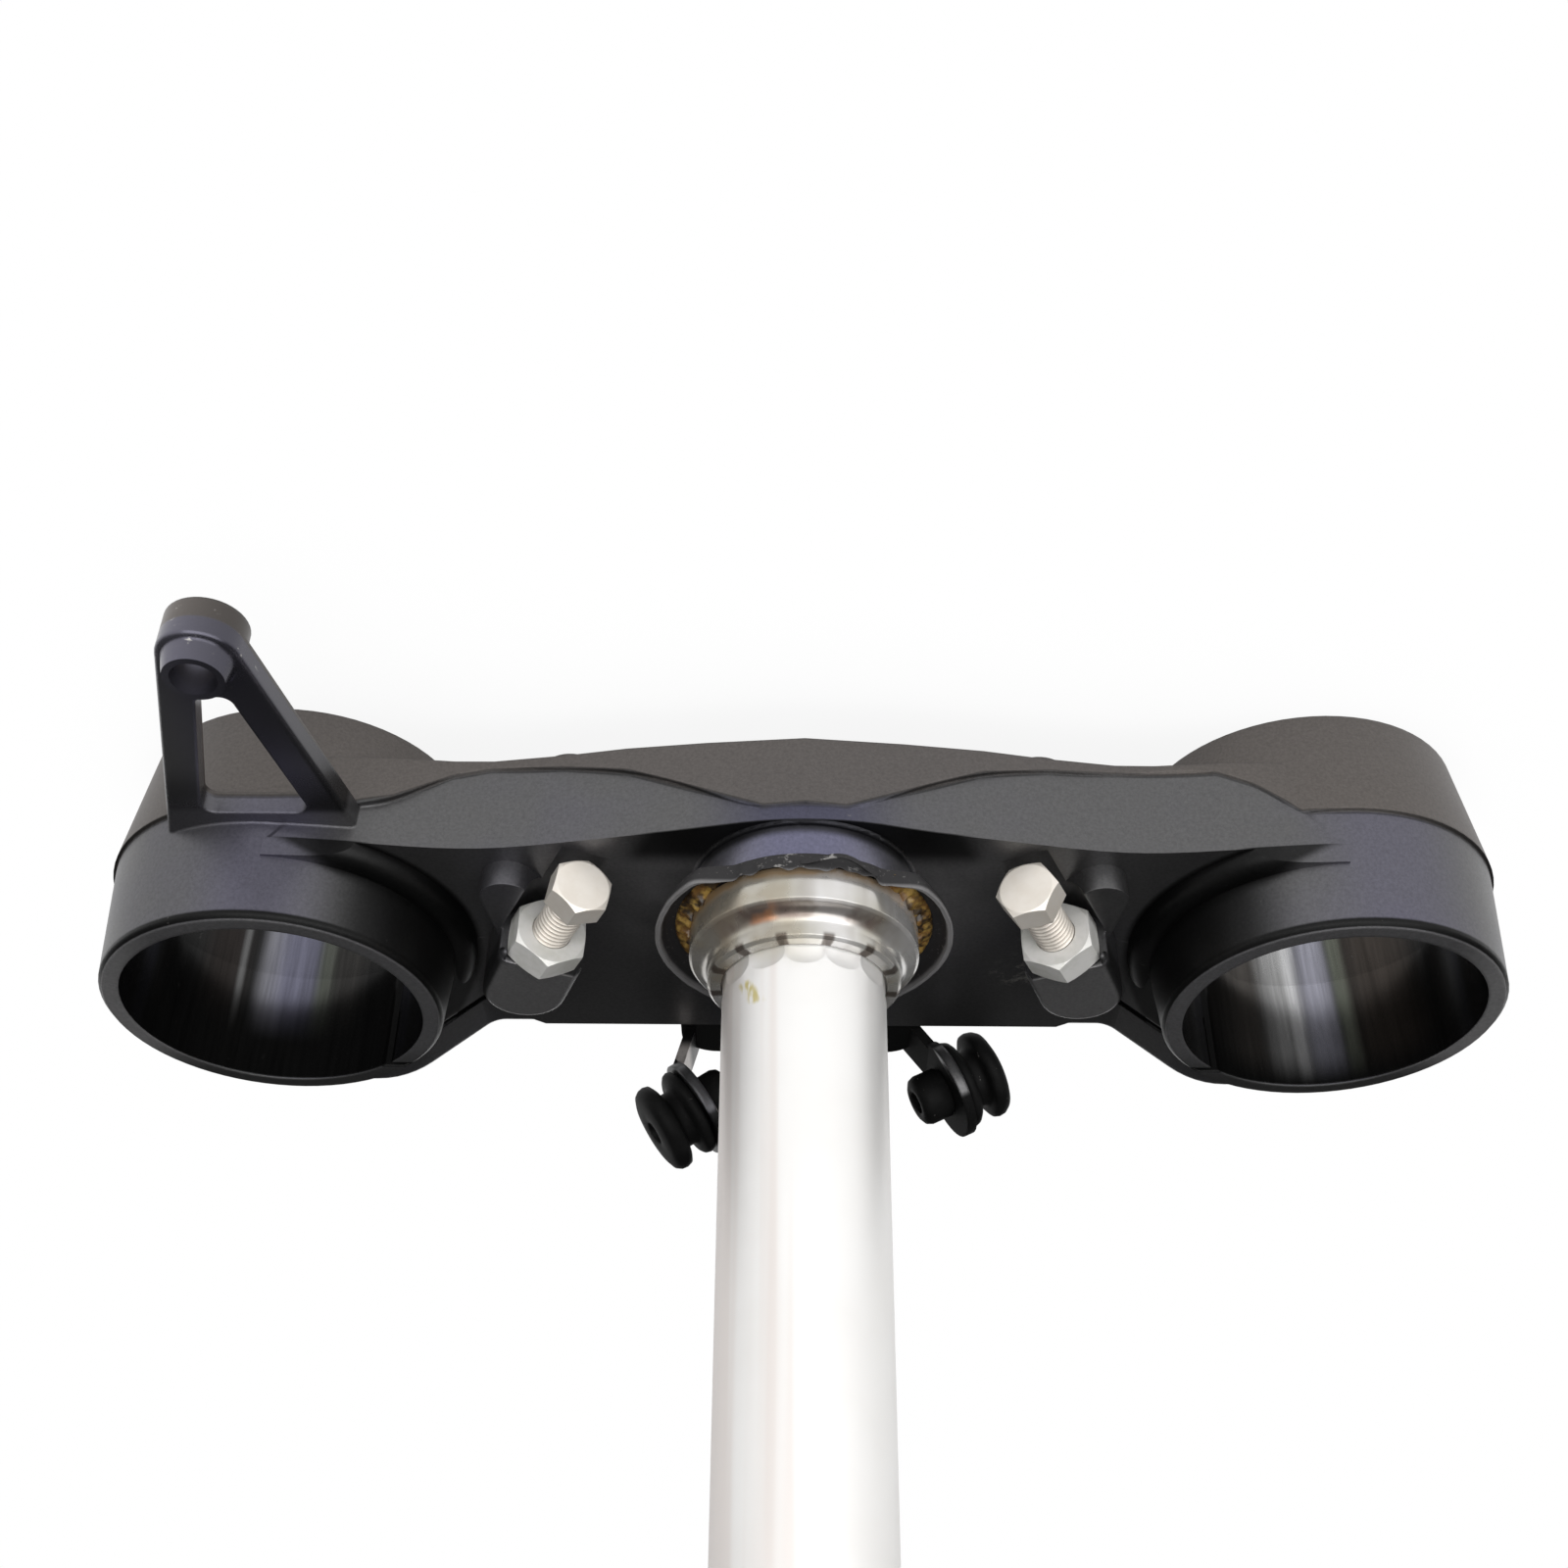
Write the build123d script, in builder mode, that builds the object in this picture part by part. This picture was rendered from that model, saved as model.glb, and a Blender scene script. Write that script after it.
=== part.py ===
"""Lower triple clamp of a motorcycle, with its steering stem, in millimetres.

The steering axis is Z, with the stem's free end up. Y points to the front of the motorcycle and X to the
rider's right. The origin lies on the steering axis, in the face that the lower bearing sits on.
"""

import os
from math import cos, radians, sin, tan

from build123d import *

# Fork tubes and the rings that clamp them
FORK_SPACING = 214.0
FORK_OFFSET = 20.0
FORK_BORE = 60.0
RING_MOUTH_WALL = 4.0
RING_GIRTH_WALL = 5.9
RING_STEP = 0.6
RING_FOOT_WALL = 3.4
RING_TOP = 9.0
RING_GIRTH = -16.3
RING_BOTTOM = -42.0
RING_EDGE = 0.9

# Web between the rings: a forging with draft, milled to an upright band at the rear down to a wavy step
WEB_TOP = -8.5
WEB_BOTTOM = -29.8
WEB_FRONT = 56.0
FORGING_DRAFT = 8.6
FORGED_REAR = ((104.0, -15.1), (94.0, -16.65), (85.0, -16.5), (70.0, -15.2), (62.5, -15.25),
               (48.0, -17.4), (36.0, -19.7), (20.0, -21.7), (0.0, -23.5))
BAND_REAR = ((104.0, -15.4), (62.0, -12.1), (40.0, -15.5), (22.0, -18.9), (0.0, -22.3))
BAND_END_SLOPE = 0.05
STEP_MIDDLE = ((62.5, -27.3), (48.0, -26.3), (34.6, -23.5), (19.0, -16.5), (8.0, -11.8), (0.0, -12.2))
STEP_ENDS = {"right": ((104.0, -16.0), (92.0, -16.3), (81.0, -19.1), (70.0, -25.6)),
             "left": ((104.0, -16.0), (97.0, -16.5), (89.0, -23.4), (82.0, -27.0))}
MILLED_REACH = 60.0
RING_FILLET = 4.0

# Boss under the lower bearing
BOSS_RADIUS = 21.7
BOSS_FLARE = 0.8

# Pads on the underside
PAD_PLACE = (47.0, -7.0)
PAD_RADIUS = 6.0
PAD_HEIGHT = 1.4

# Pinch ears and slots
SLOT_AHEAD = 23.0
SLOT_WIDTH = 1.6
SLOT_DEPTH = 28.0
EAR_FRONT = 56.0
EAR_WIDTH = 26.0
EAR_TOP = 6.5
EAR_FLAT = 10.9
EAR_RAMP = 17.7
EAR_RAMP_FOOT = 6.0
EAR_RAMP_HEAD = 18.0
EAR_BOTTOM = -41.3
EAR_EDGE = 2.5
PINCH_INSET = 37.0
PINCH_LEVELS = {"upper": -16.9, "lower": -32.4}
PINCH_DIAMETER = 8.0
PINCH_LENGTH = 28.0
PINCH_HEAD_DIAMETER = 13.0
PINCH_HEAD_HEIGHT = 8.0
PINCH_HEX = 6.0
PINCH_HEX_DEPTH = 4.0
PINCH_SINK = 7.0
PINCH_SINK_CLEARANCE = 0.6

# Steering stops
STOP_SEAT = (52.7, 11.4, -1.0)
STOP_ANGLE = 25.0
STOP_DIAMETER = 8.0
STOP_THREAD_DEPTH = 18.0
STOP_EXPOSED = 12.5
STOP_HEAD_FLATS = 12.0
STOP_HEAD_HEIGHT = 5.5
LOCK_NUT_FLATS = 14.0
LOCK_NUT_HEIGHT = 6.5
STOP_POST_NOSE = (57.0, 22.5)
STOP_POST_RADIUS = 8.5
STOP_POST_TOP = 4.5
STOP_POST_EDGE = 2.0
STOP_PAD_TAIL = (58.5, -3.0)
STOP_PAD_TAIL_RADIUS = 5.0
STOP_PAD_TOP = -3.0
STOP_SPOT_RADIUS = 9.0
HEX_CHAMFER = 30.0

# Hose bracket on the rider's right
BRACKET_EYE = (105.2, -62.5)
BRACKET_EYE_RADIUS = 7.5
BRACKET_TOP = -12.0
BRACKET_THICKNESS = 5.0
BRACKET_EYE_THICKNESS = 8.3
BRACKET_OUTER_FOOT = (125.4, -6.0)
BRACKET_INNER_FOOT = (87.0, -14.0)
BRACKET_ARM = 6.6
BRACKET_SILL = 2.5
BRACKET_NECK = 53.0
BRACKET_CORNER = 2.5
BRACKET_BOSS_RADIUS = 6.4
BRACKET_BOSS_HEIGHT = 4.0
BRACKET_BOSS_TAPER = 14.0
BRACKET_HOLE = 8.2
BRACKET_EDGE = 0.9

# Front nose and the rubber-mounted lugs on it
NOSE_HALF_WIDTH = 27.0
NOSE_FRONT = 71.0
NOSE_TOP = -10.0
NOSE_BOTTOM = -26.0
NOSE_CORNER = 8.0
LUG_CENTRES = {"right": (22.9, 66.0, 6.8), "left": (-33.2, 66.0, 1.9)}
LUG_TILTS = {"right": 35.0, "left": 26.0}
LUG_RADIUS = 11.0
LUG_HOLE = 9.0
LUG_THICKNESS = 2.2
LUG_STRAP_WIDTH = 12.0
LUG_STRAP_REACH = 8.0
LUG_STRAP_SINK = 3.0
GROMMET_BORE = 5.0
GROMMET_FLANGE = 20.4
GROMMET_GROOVE = 13.0
GROMMET_HUB = 11.4
GROMMET_HUB_LENGTH = 7.0
GROMMET_COLLAR = 2.6
GROMMET_SLOT = 3.3
GROMMET_HEAD = 4.3
GROMMET_EDGE = 1.1
GROMMET_HUB_EDGE = 2.0

# Steering stem, bearing race and dust seal
STEM_SEAT_DIAMETER = 31.8
STEM_DIAMETER = 30.0
STEM_BORE = 21.0
STEM_TOP = 192.0
STEM_TAPER_TOP = 128.0
STEM_FOOT_INSET = 1.0
STEM_CHAMFER = 1.2
STEM_SEAT_ABOVE_RACE = 0.3
STEM_RELIEF = 0.25
STAKE_COUNT = 13
STAKE_START = -90.0
STAKE_CUTTER = 8.0
STAKE_WIDTH = 12.0
STAKE_DEPTH = 0.45
STAKE_LIFT = 1.3
SEAL_DIAMETER = 58.0
SEAL_LIP = 2.2
SEAL_DISC = 1.5
SEAL_LIP_HEIGHT = 4.6
SEAL_SPLAY = 1.2
RACE_FLANGE_DIAMETER = 44.4
RACE_FLANGE_HEIGHT = 7.9
RACE_COLLAR_DIAMETER = 37.0
RACE_HEIGHT = 13.6
RACE_GROOVE_RADIUS = 3.6
RACE_CHAMFER = 0.6

# How closely an edge has to lie to a level to be picked by it
EDGE_MATCH = 0.01

# Fits
PRESS_GAP = 0.02
THREAD_GAP = 0.1
RUBBER_GAP = 0.15

# Places worked out from the sizes above
fork_x = FORK_SPACING / 2
bore_radius = FORK_BORE / 2
mouth_radius = bore_radius + RING_MOUTH_WALL
girth_radius = bore_radius + RING_GIRTH_WALL
foot_radius = bore_radius + RING_FOOT_WALL
web_height = WEB_TOP - WEB_BOTTOM
web_radius = mouth_radius + (girth_radius - mouth_radius) * (RING_TOP - WEB_TOP) / (RING_TOP - RING_GIRTH)
slot_y = FORK_OFFSET + SLOT_AHEAD
pinch_x = fork_x - PINCH_INSET
ear_inner_x = pinch_x - EAR_WIDTH / 2
ramp_foot_x = ear_inner_x + EAR_FLAT
ramp_head_x = ramp_foot_x + EAR_RAMP
web_corner = (ear_inner_x, WEB_FRONT)
web_flank = (fork_x, FORK_OFFSET)
seat_radius = STEM_SEAT_DIAMETER / 2
shaft_radius = STEM_DIAMETER / 2
race_seat = SEAL_DISC
sides = {"right": 1, "left": -1}


def fork_axis(side):
    """Axis of one fork tube, at the height of the origin."""
    return Axis((side * fork_x, FORK_OFFSET, 0), (0, 0, 1))


def stop_plane(side):
    """Plane in the lock nut's seat, its normal pointing along the stop bolt to the head."""
    x, y, z = STOP_SEAT
    lean = radians(STOP_ANGLE)
    return Plane(origin=(side * x, y, z), x_dir=(0, 0, 1), z_dir=(-side * sin(lean), -cos(lean), 0))


def lug_plane(name):
    """Plane through the middle of one front lug, its normal pointing outward along the grommet."""
    side = sides[name]
    tilt = radians(LUG_TILTS[name])
    return Plane(origin=LUG_CENTRES[name], x_dir=(0, 1, 0), z_dir=(side * cos(tilt), 0, side * sin(tilt)))


def arm_edge(foot, way, y):
    """Where the inner edge of one bracket arm lies, an arm's width inside the line from eye to foot."""
    reach = BRACKET_EYE_RADIUS * way
    lean = (foot[0] - BRACKET_EYE[0] - reach) / (foot[1] - BRACKET_EYE[1])
    return BRACKET_EYE[0] + reach - BRACKET_ARM * way + lean * (y - BRACKET_EYE[1])


def hexagon(plane, flats, height, both_ends):
    """A hexagon prism standing on the plane, its corners turned down to a cone at the far end or at both."""
    corner = flats / 2 / cos(radians(30))
    drop = (corner - flats / 2) * tan(radians(HEX_CHAMFER))
    foot = [(flats / 2, 0), (corner, drop)] if both_ends else [(corner, 0)]
    with BuildPart() as prism:
        with BuildSketch(plane):
            RegularPolygon(flats / 2, 6, major_radius=False)
        extrude(amount=height)
        with BuildSketch(Plane(plane.origin, plane.x_dir, plane.x_dir.cross(plane.z_dir))):
            with BuildLine():
                Polyline((0, 0), *foot, (corner, height - drop), (flats / 2, height), (0, height), close=True)
            make_face()
        revolve(axis=Axis(plane.origin, plane.z_dir), mode=Mode.INTERSECT)
    return prism.part


def pinch_ear(side):
    """The block beside one fork ring that the pinch bolts cross, ramped up to the ring's mouth."""
    with BuildPart() as ear:
        with BuildSketch(Plane.XZ.offset(-FORK_OFFSET)) as outline:
            with BuildLine():
                ramp_foot = (side * ramp_foot_x, WEB_TOP)
                ramp_head = (side * ramp_head_x, EAR_TOP)
                Polyline((side * ear_inner_x, WEB_TOP), ramp_foot, ramp_head,
                         (side * fork_x, EAR_TOP), (side * fork_x, EAR_BOTTOM),
                         (side * ear_inner_x, EAR_BOTTOM), close=True)
            make_face()
            fillet(outline.vertices().sort_by_distance(ramp_foot)[0], EAR_RAMP_FOOT)
            fillet(outline.vertices().sort_by_distance(ramp_head)[0], EAR_RAMP_HEAD)
        extrude(amount=-(EAR_FRONT - FORK_OFFSET))
        front_edges = ear.faces().sort_by(Axis.Y)[-1].edges()
        fillet(front_edges.filter_by_position(Axis.Z, WEB_TOP, EAR_TOP), EAR_EDGE)
    return ear.part


def mirrored(point):
    """The same point on the other side of the motorcycle."""
    return (-point[0], point[1])


# What the milling leaves of the web, seen along the stem
with BuildSketch(Plane.XY.offset(WEB_BOTTOM)) as milled_outline:
    with BuildLine():
        band_end = BAND_REAR[0]
        Spline(*[mirrored(point) for point in BAND_REAR], tangents=[(1, BAND_END_SLOPE), (1, 0)])
        Spline(*reversed(BAND_REAR), tangents=[(1, 0), (1, -BAND_END_SLOPE)])
        Polyline(band_end, web_flank, web_corner, mirrored(web_corner), mirrored(web_flank),
                 mirrored(band_end))
    make_face()

# What the milling takes off the web's rear, above the wavy step
with BuildPart() as milled_away:
    with BuildSketch(Plane.XZ):
        with BuildLine():
            step_right = STEP_ENDS["right"] + STEP_MIDDLE
            step_left = [mirrored(point) for point in reversed(STEP_ENDS["left"] + STEP_MIDDLE[:-1])]
            Spline(*step_right, *step_left)
            Polyline(step_left[-1], (step_left[-1][0], RING_TOP), (step_right[0][0], RING_TOP), step_right[0])
        make_face()
    extrude(amount=MILLED_REACH)
    extrude(milled_outline.sketch, amount=RING_TOP - WEB_BOTTOM, mode=Mode.SUBTRACT)

# Flared boss under the bearing, and the rounded corners between the web and the fork rings
with BuildPart() as flares:
    with BuildSketch(Plane.XZ):
        with BuildLine():
            flare_foot = (BOSS_RADIUS + BOSS_FLARE, WEB_TOP)
            flare_top = (BOSS_RADIUS, WEB_TOP + BOSS_FLARE)
            Line((0, WEB_TOP), flare_foot)
            RadiusArc(flare_foot, flare_top, -BOSS_FLARE)
            Polyline(flare_top, (BOSS_RADIUS, 0), (0, 0), (0, WEB_TOP))
        make_face()
    revolve(axis=Axis.Z)
    for side in sides.values():
        with BuildSketch(Plane.XZ.offset(-FORK_OFFSET)):
            with BuildLine():
                round_foot = (side * (fork_x + web_radius + RING_FILLET), WEB_TOP)
                round_top = (side * (fork_x + web_radius), WEB_TOP + RING_FILLET)
                wall = side * (fork_x + bore_radius)
                RadiusArc(round_foot, round_top, -side * RING_FILLET)
                Polyline(round_top, (wall, WEB_TOP + RING_FILLET), (wall, WEB_TOP), round_foot)
            make_face()
        revolve(axis=fork_axis(side))
    extrude(milled_outline.sketch, amount=RING_TOP - WEB_BOTTOM, mode=Mode.INTERSECT)

# One forging: web, rings, bearing boss, pinch ears, stop posts, hose bracket and front lugs
with BuildPart() as lower_clamp:
    # Forged web with draft, milled at the rear
    with BuildSketch(Plane.XY.offset(WEB_TOP)):
        with BuildLine():
            far_rear = [mirrored(point) for point in reversed(FORGED_REAR[:-1])]
            Polyline(web_corner, web_flank, *FORGED_REAR, *far_rear, mirrored(web_flank),
                     mirrored(web_corner), close=True)
        make_face()
    extrude(amount=-web_height, taper=FORGING_DRAFT)
    add(milled_away.part, mode=Mode.SUBTRACT)
    add(flares.part)

    # Pinch ears, sloping up from the web to the ring mouths
    for side in sides.values():
        add(pinch_ear(side))

    # Fork rings: widest at the girth, drafted both ways
    for side in sides.values():
        with BuildSketch(Plane.XZ.offset(-FORK_OFFSET)):
            with BuildLine():
                Polyline((side * fork_x, RING_TOP), (side * (fork_x + mouth_radius - RING_EDGE), RING_TOP),
                         (side * (fork_x + mouth_radius), RING_TOP - RING_EDGE),
                         (side * (fork_x + girth_radius), RING_GIRTH),
                         (side * (fork_x + girth_radius + RING_STEP), RING_GIRTH),
                         (side * (fork_x + foot_radius), RING_BOTTOM),
                         (side * fork_x, RING_BOTTOM), close=True)
            make_face()
        revolve(axis=fork_axis(side))

    # Pads on the underside
    with BuildSketch(Plane.XY.offset(WEB_BOTTOM)):
        with Locations(PAD_PLACE, mirrored(PAD_PLACE)):
            Circle(PAD_RADIUS)
    extrude(amount=-PAD_HEIGHT)

    # Front nose
    with BuildSketch(Plane.XY.offset(NOSE_BOTTOM)):
        with Locations((0, (WEB_FRONT + NOSE_FRONT) / 2 - NOSE_CORNER)):
            RectangleRounded(2 * NOSE_HALF_WIDTH, NOSE_FRONT - WEB_FRONT + 2 * NOSE_CORNER, NOSE_CORNER)
    extrude(amount=NOSE_TOP - NOSE_BOTTOM)

    # Stop posts, each with a low pad around the lock nut
    for side in sides.values():
        with BuildSketch(Plane.XY.offset(WEB_TOP)):
            with Locations((side * STOP_SEAT[0], STOP_SEAT[1]),
                           (side * STOP_POST_NOSE[0], STOP_POST_NOSE[1])):
                Circle(STOP_POST_RADIUS)
            make_hull()
        extrude(amount=STOP_POST_TOP - WEB_TOP)
    post_tops = lower_clamp.edges().filter_by_position(
        Axis.Z, STOP_POST_TOP - EDGE_MATCH, STOP_POST_TOP + EDGE_MATCH)
    fillet(post_tops, STOP_POST_EDGE)
    for side in sides.values():
        with BuildSketch(Plane.XY.offset(WEB_TOP)):
            with Locations((side * STOP_SEAT[0], STOP_SEAT[1])):
                Circle(STOP_POST_RADIUS)
            with Locations((side * STOP_PAD_TAIL[0], STOP_PAD_TAIL[1])):
                Circle(STOP_PAD_TAIL_RADIUS)
            make_hull()
        extrude(amount=STOP_PAD_TOP - WEB_TOP)

    # Hose bracket: a flat eye on two arms
    with BuildSketch(Plane.XY.offset(BRACKET_TOP)):
        with BuildLine():
            Polyline(BRACKET_OUTER_FOOT, BRACKET_INNER_FOOT, (fork_x, FORK_OFFSET), close=True)
        make_face()
        with Locations(BRACKET_EYE):
            Circle(BRACKET_EYE_RADIUS)
        make_hull()
    extrude(amount=-BRACKET_THICKNESS)
    with BuildSketch(Plane.XY.offset(BRACKET_TOP)):
        with Locations(BRACKET_EYE):
            Circle(BRACKET_EYE_RADIUS)
    extrude(amount=-BRACKET_EYE_THICKNESS)
    bracket_rim = lower_clamp.edges().filter_by_position(
        Axis.Z, BRACKET_TOP - EDGE_MATCH, BRACKET_TOP + EDGE_MATCH)
    fillet(bracket_rim.filter_by(lambda edge: edge.center().Y < FORK_OFFSET - girth_radius), BRACKET_EDGE)
    with BuildSketch(Plane.XY.offset(BRACKET_TOP)):
        with Locations(BRACKET_EYE):
            Circle(BRACKET_BOSS_RADIUS)
    extrude(amount=BRACKET_BOSS_HEIGHT, taper=BRACKET_BOSS_TAPER)
    with BuildSketch(Plane.XY.offset(BRACKET_TOP)):
        with BuildLine():
            sill_y = FORK_OFFSET - girth_radius - BRACKET_SILL
            Polyline((arm_edge(BRACKET_OUTER_FOOT, 1, -BRACKET_NECK), -BRACKET_NECK),
                     (arm_edge(BRACKET_OUTER_FOOT, 1, sill_y), sill_y),
                     (arm_edge(BRACKET_INNER_FOOT, -1, sill_y), sill_y),
                     (arm_edge(BRACKET_INNER_FOOT, -1, -BRACKET_NECK), -BRACKET_NECK), close=True)
        opening = make_face()
        fillet(opening.vertices(), BRACKET_CORNER)
    extrude(amount=-BRACKET_THICKNESS, mode=Mode.SUBTRACT)
    with Locations((*BRACKET_EYE, BRACKET_TOP + BRACKET_BOSS_HEIGHT)):
        Hole(BRACKET_HOLE / 2, BRACKET_EYE_THICKNESS + BRACKET_BOSS_HEIGHT)

    # Front lugs for the grommets: a ring on a bent strap
    for name, side in sides.items():
        x, y, z = LUG_CENTRES[name]
        tilt = radians(LUG_TILTS[name])
        with BuildSketch(lug_plane(name)):
            Circle(LUG_RADIUS)
        extrude(amount=LUG_THICKNESS / 2, both=True)
        with BuildSketch(Plane.XZ.offset(-y)):
            with Locations((x + LUG_STRAP_REACH * sin(tilt), z - LUG_STRAP_REACH * cos(tilt)),
                           (side * (NOSE_HALF_WIDTH - LUG_STRAP_SINK), NOSE_TOP - LUG_STRAP_SINK)):
                Circle(LUG_THICKNESS / 2)
            make_hull()
        extrude(amount=LUG_STRAP_WIDTH / 2, both=True)
        with BuildSketch(lug_plane(name)):
            Circle(LUG_HOLE / 2)
        extrude(amount=LUG_THICKNESS, both=True, mode=Mode.SUBTRACT)

    # Bores, slots and threaded holes
    with Locations(*[(side * fork_x, FORK_OFFSET, RING_TOP) for side in sides.values()]):
        Hole(bore_radius, RING_TOP - RING_BOTTOM)
    Hole(seat_radius + PRESS_GAP)
    for side in sides.values():
        with Locations((side * (fork_x - bore_radius), slot_y, (RING_TOP + RING_BOTTOM) / 2)):
            Box(2 * SLOT_DEPTH - bore_radius, SLOT_WIDTH, RING_TOP - RING_BOTTOM, mode=Mode.SUBTRACT)
        with BuildSketch(stop_plane(side)):
            Circle(STOP_SPOT_RADIUS)
        extrude(amount=LOCK_NUT_HEIGHT + STOP_EXPOSED + STOP_HEAD_HEIGHT, mode=Mode.SUBTRACT)
        with BuildSketch(stop_plane(side)):
            Circle(STOP_DIAMETER / 2 + THREAD_GAP)
        extrude(amount=-STOP_THREAD_DEPTH - STOP_DIAMETER / 4, mode=Mode.SUBTRACT)
        for level in PINCH_LEVELS.values():
            with BuildSketch(Plane.XZ.offset(-EAR_FRONT)):
                with Locations((side * pinch_x, level)):
                    Circle(PINCH_HEAD_DIAMETER / 2 + PINCH_SINK_CLEARANCE)
            extrude(amount=PINCH_SINK, mode=Mode.SUBTRACT)
            with BuildSketch(Plane.XZ.offset(-EAR_FRONT)):
                with Locations((side * pinch_x, level)):
                    Circle(PINCH_DIAMETER / 2 + THREAD_GAP)
            extrude(amount=PINCH_SINK + PINCH_LENGTH + PINCH_DIAMETER / 4, mode=Mode.SUBTRACT)

# Steering stem: a tapered tube pressed into the clamp, staked over the bearing race
with BuildPart() as steering_stem:
    with BuildSketch(Plane.XZ):
        with BuildLine():
            foot = WEB_BOTTOM + STEM_FOOT_INSET
            seat_top = race_seat + RACE_HEIGHT + STEM_SEAT_ABOVE_RACE
            Polyline((STEM_BORE / 2, foot), (seat_radius - STEM_CHAMFER, foot),
                     (seat_radius, foot + STEM_CHAMFER), (seat_radius, seat_top),
                     (seat_radius - STEM_RELIEF, seat_top + STEM_RELIEF), (shaft_radius, STEM_TAPER_TOP),
                     (shaft_radius, STEM_TOP - STEM_CHAMFER), (shaft_radius - STEM_CHAMFER, STEM_TOP),
                     (STEM_BORE / 2, STEM_TOP), close=True)
        make_face()
    revolve(axis=Axis.Z)
    stake_level = race_seat + RACE_HEIGHT + STAKE_LIFT
    stake_reach = seat_radius - STEM_RELIEF + STAKE_CUTTER - STAKE_DEPTH
    with Locations((0, 0, stake_level)):
        with PolarLocations(stake_reach, STAKE_COUNT, STAKE_START):
            Cylinder(STAKE_CUTTER, STAKE_WIDTH, rotation=(90, 0, 0), mode=Mode.SUBTRACT)

# Lower bearing's inner race: flange, ball groove and collar
with BuildPart() as lower_bearing_race:
    with BuildSketch(Plane.XZ):
        with BuildLine():
            inner = seat_radius + PRESS_GAP
            flange = RACE_FLANGE_DIAMETER / 2
            collar = RACE_COLLAR_DIAMETER / 2
            flange_top = race_seat + RACE_FLANGE_HEIGHT
            race_top = race_seat + RACE_HEIGHT
            groove_top = (collar, flange_top + RACE_GROOVE_RADIUS - RACE_CHAMFER)
            groove_foot = (flange - RACE_CHAMFER, flange_top)
            Polyline(groove_top, (collar, race_top - RACE_CHAMFER), (collar - RACE_CHAMFER, race_top),
                     (inner, race_top), (inner, race_seat), (flange - RACE_CHAMFER, race_seat),
                     (flange, race_seat + RACE_CHAMFER), (flange, flange_top - RACE_CHAMFER), groove_foot)
            RadiusArc(groove_foot, groove_top, RACE_GROOVE_RADIUS)
        make_face()
    revolve(axis=Axis.Z)

# Dust seal: a rubber disc under the race with an upturned lip
with BuildPart() as dust_seal:
    with BuildSketch(Plane.XZ):
        with BuildLine():
            inner = seat_radius + PRESS_GAP
            rim = SEAL_DIAMETER / 2
            lip_top = SEAL_LIP_HEIGHT
            Polyline((inner, 0), (rim - SEAL_SPLAY, 0), (rim, lip_top), (rim - SEAL_LIP, lip_top),
                     (rim - SEAL_LIP - SEAL_SPLAY, SEAL_DISC), (inner, SEAL_DISC), close=True)
        make_face()
    revolve(axis=Axis.Z)

os.makedirs("parts", exist_ok=True)
lower_clamp.part.label = "lower_clamp"
export_step(lower_clamp.part, "parts/lower_clamp.step")
steering_stem.part.label = "steering_stem"
export_step(steering_stem.part, "parts/steering_stem.step")
lower_bearing_race.part.label = "lower_bearing_race"
export_step(lower_bearing_race.part, "parts/lower_bearing_race.step")
dust_seal.part.label = "dust_seal"
export_step(dust_seal.part, "parts/dust_seal.step")

# Steering stop bolts and their lock nuts
for name, side in sides.items():
    seat = stop_plane(side)
    head = hexagon(seat.offset(LOCK_NUT_HEIGHT + STOP_EXPOSED), STOP_HEAD_FLATS, STOP_HEAD_HEIGHT, False)
    with BuildPart() as stop_bolt:
        add(head)
        with BuildSketch(seat.offset(-STOP_THREAD_DEPTH)):
            Circle(STOP_DIAMETER / 2)
        extrude(amount=STOP_THREAD_DEPTH + LOCK_NUT_HEIGHT + STOP_EXPOSED)
    label = f"stop_bolt_{name}"
    stop_bolt.part.label = label
    export_step(stop_bolt.part, f"parts/{label}.step")

    blank = hexagon(seat, LOCK_NUT_FLATS, LOCK_NUT_HEIGHT, True)
    with BuildPart() as stop_lock_nut:
        add(blank)
        with BuildSketch(seat):
            Circle(STOP_DIAMETER / 2 + THREAD_GAP)
        extrude(amount=LOCK_NUT_HEIGHT, mode=Mode.SUBTRACT)
    label = f"stop_lock_nut_{name}"
    stop_lock_nut.part.label = label
    export_step(stop_lock_nut.part, f"parts/{label}.step")

# Pinch bolts, with socket heads sunk in the ears
for name, side in sides.items():
    for level_name, level in PINCH_LEVELS.items():
        seat_point = (side * pinch_x, EAR_FRONT - PINCH_SINK, level)
        head_seat = Plane(origin=seat_point, x_dir=(1, 0, 0), z_dir=(0, 1, 0))
        with BuildPart() as pinch_bolt:
            with BuildSketch(head_seat):
                Circle(PINCH_DIAMETER / 2)
            extrude(amount=-PINCH_LENGTH)
            with BuildSketch(head_seat):
                Circle(PINCH_HEAD_DIAMETER / 2)
            extrude(amount=PINCH_HEAD_HEIGHT)
            with BuildSketch(head_seat.offset(PINCH_HEAD_HEIGHT)):
                RegularPolygon(PINCH_HEX / 2, 6, major_radius=False)
            extrude(amount=-PINCH_HEX_DEPTH, mode=Mode.SUBTRACT)
        label = f"pinch_bolt_{name}_{level_name}"
        pinch_bolt.part.label = label
        export_step(pinch_bolt.part, f"parts/{label}.step")

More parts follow.
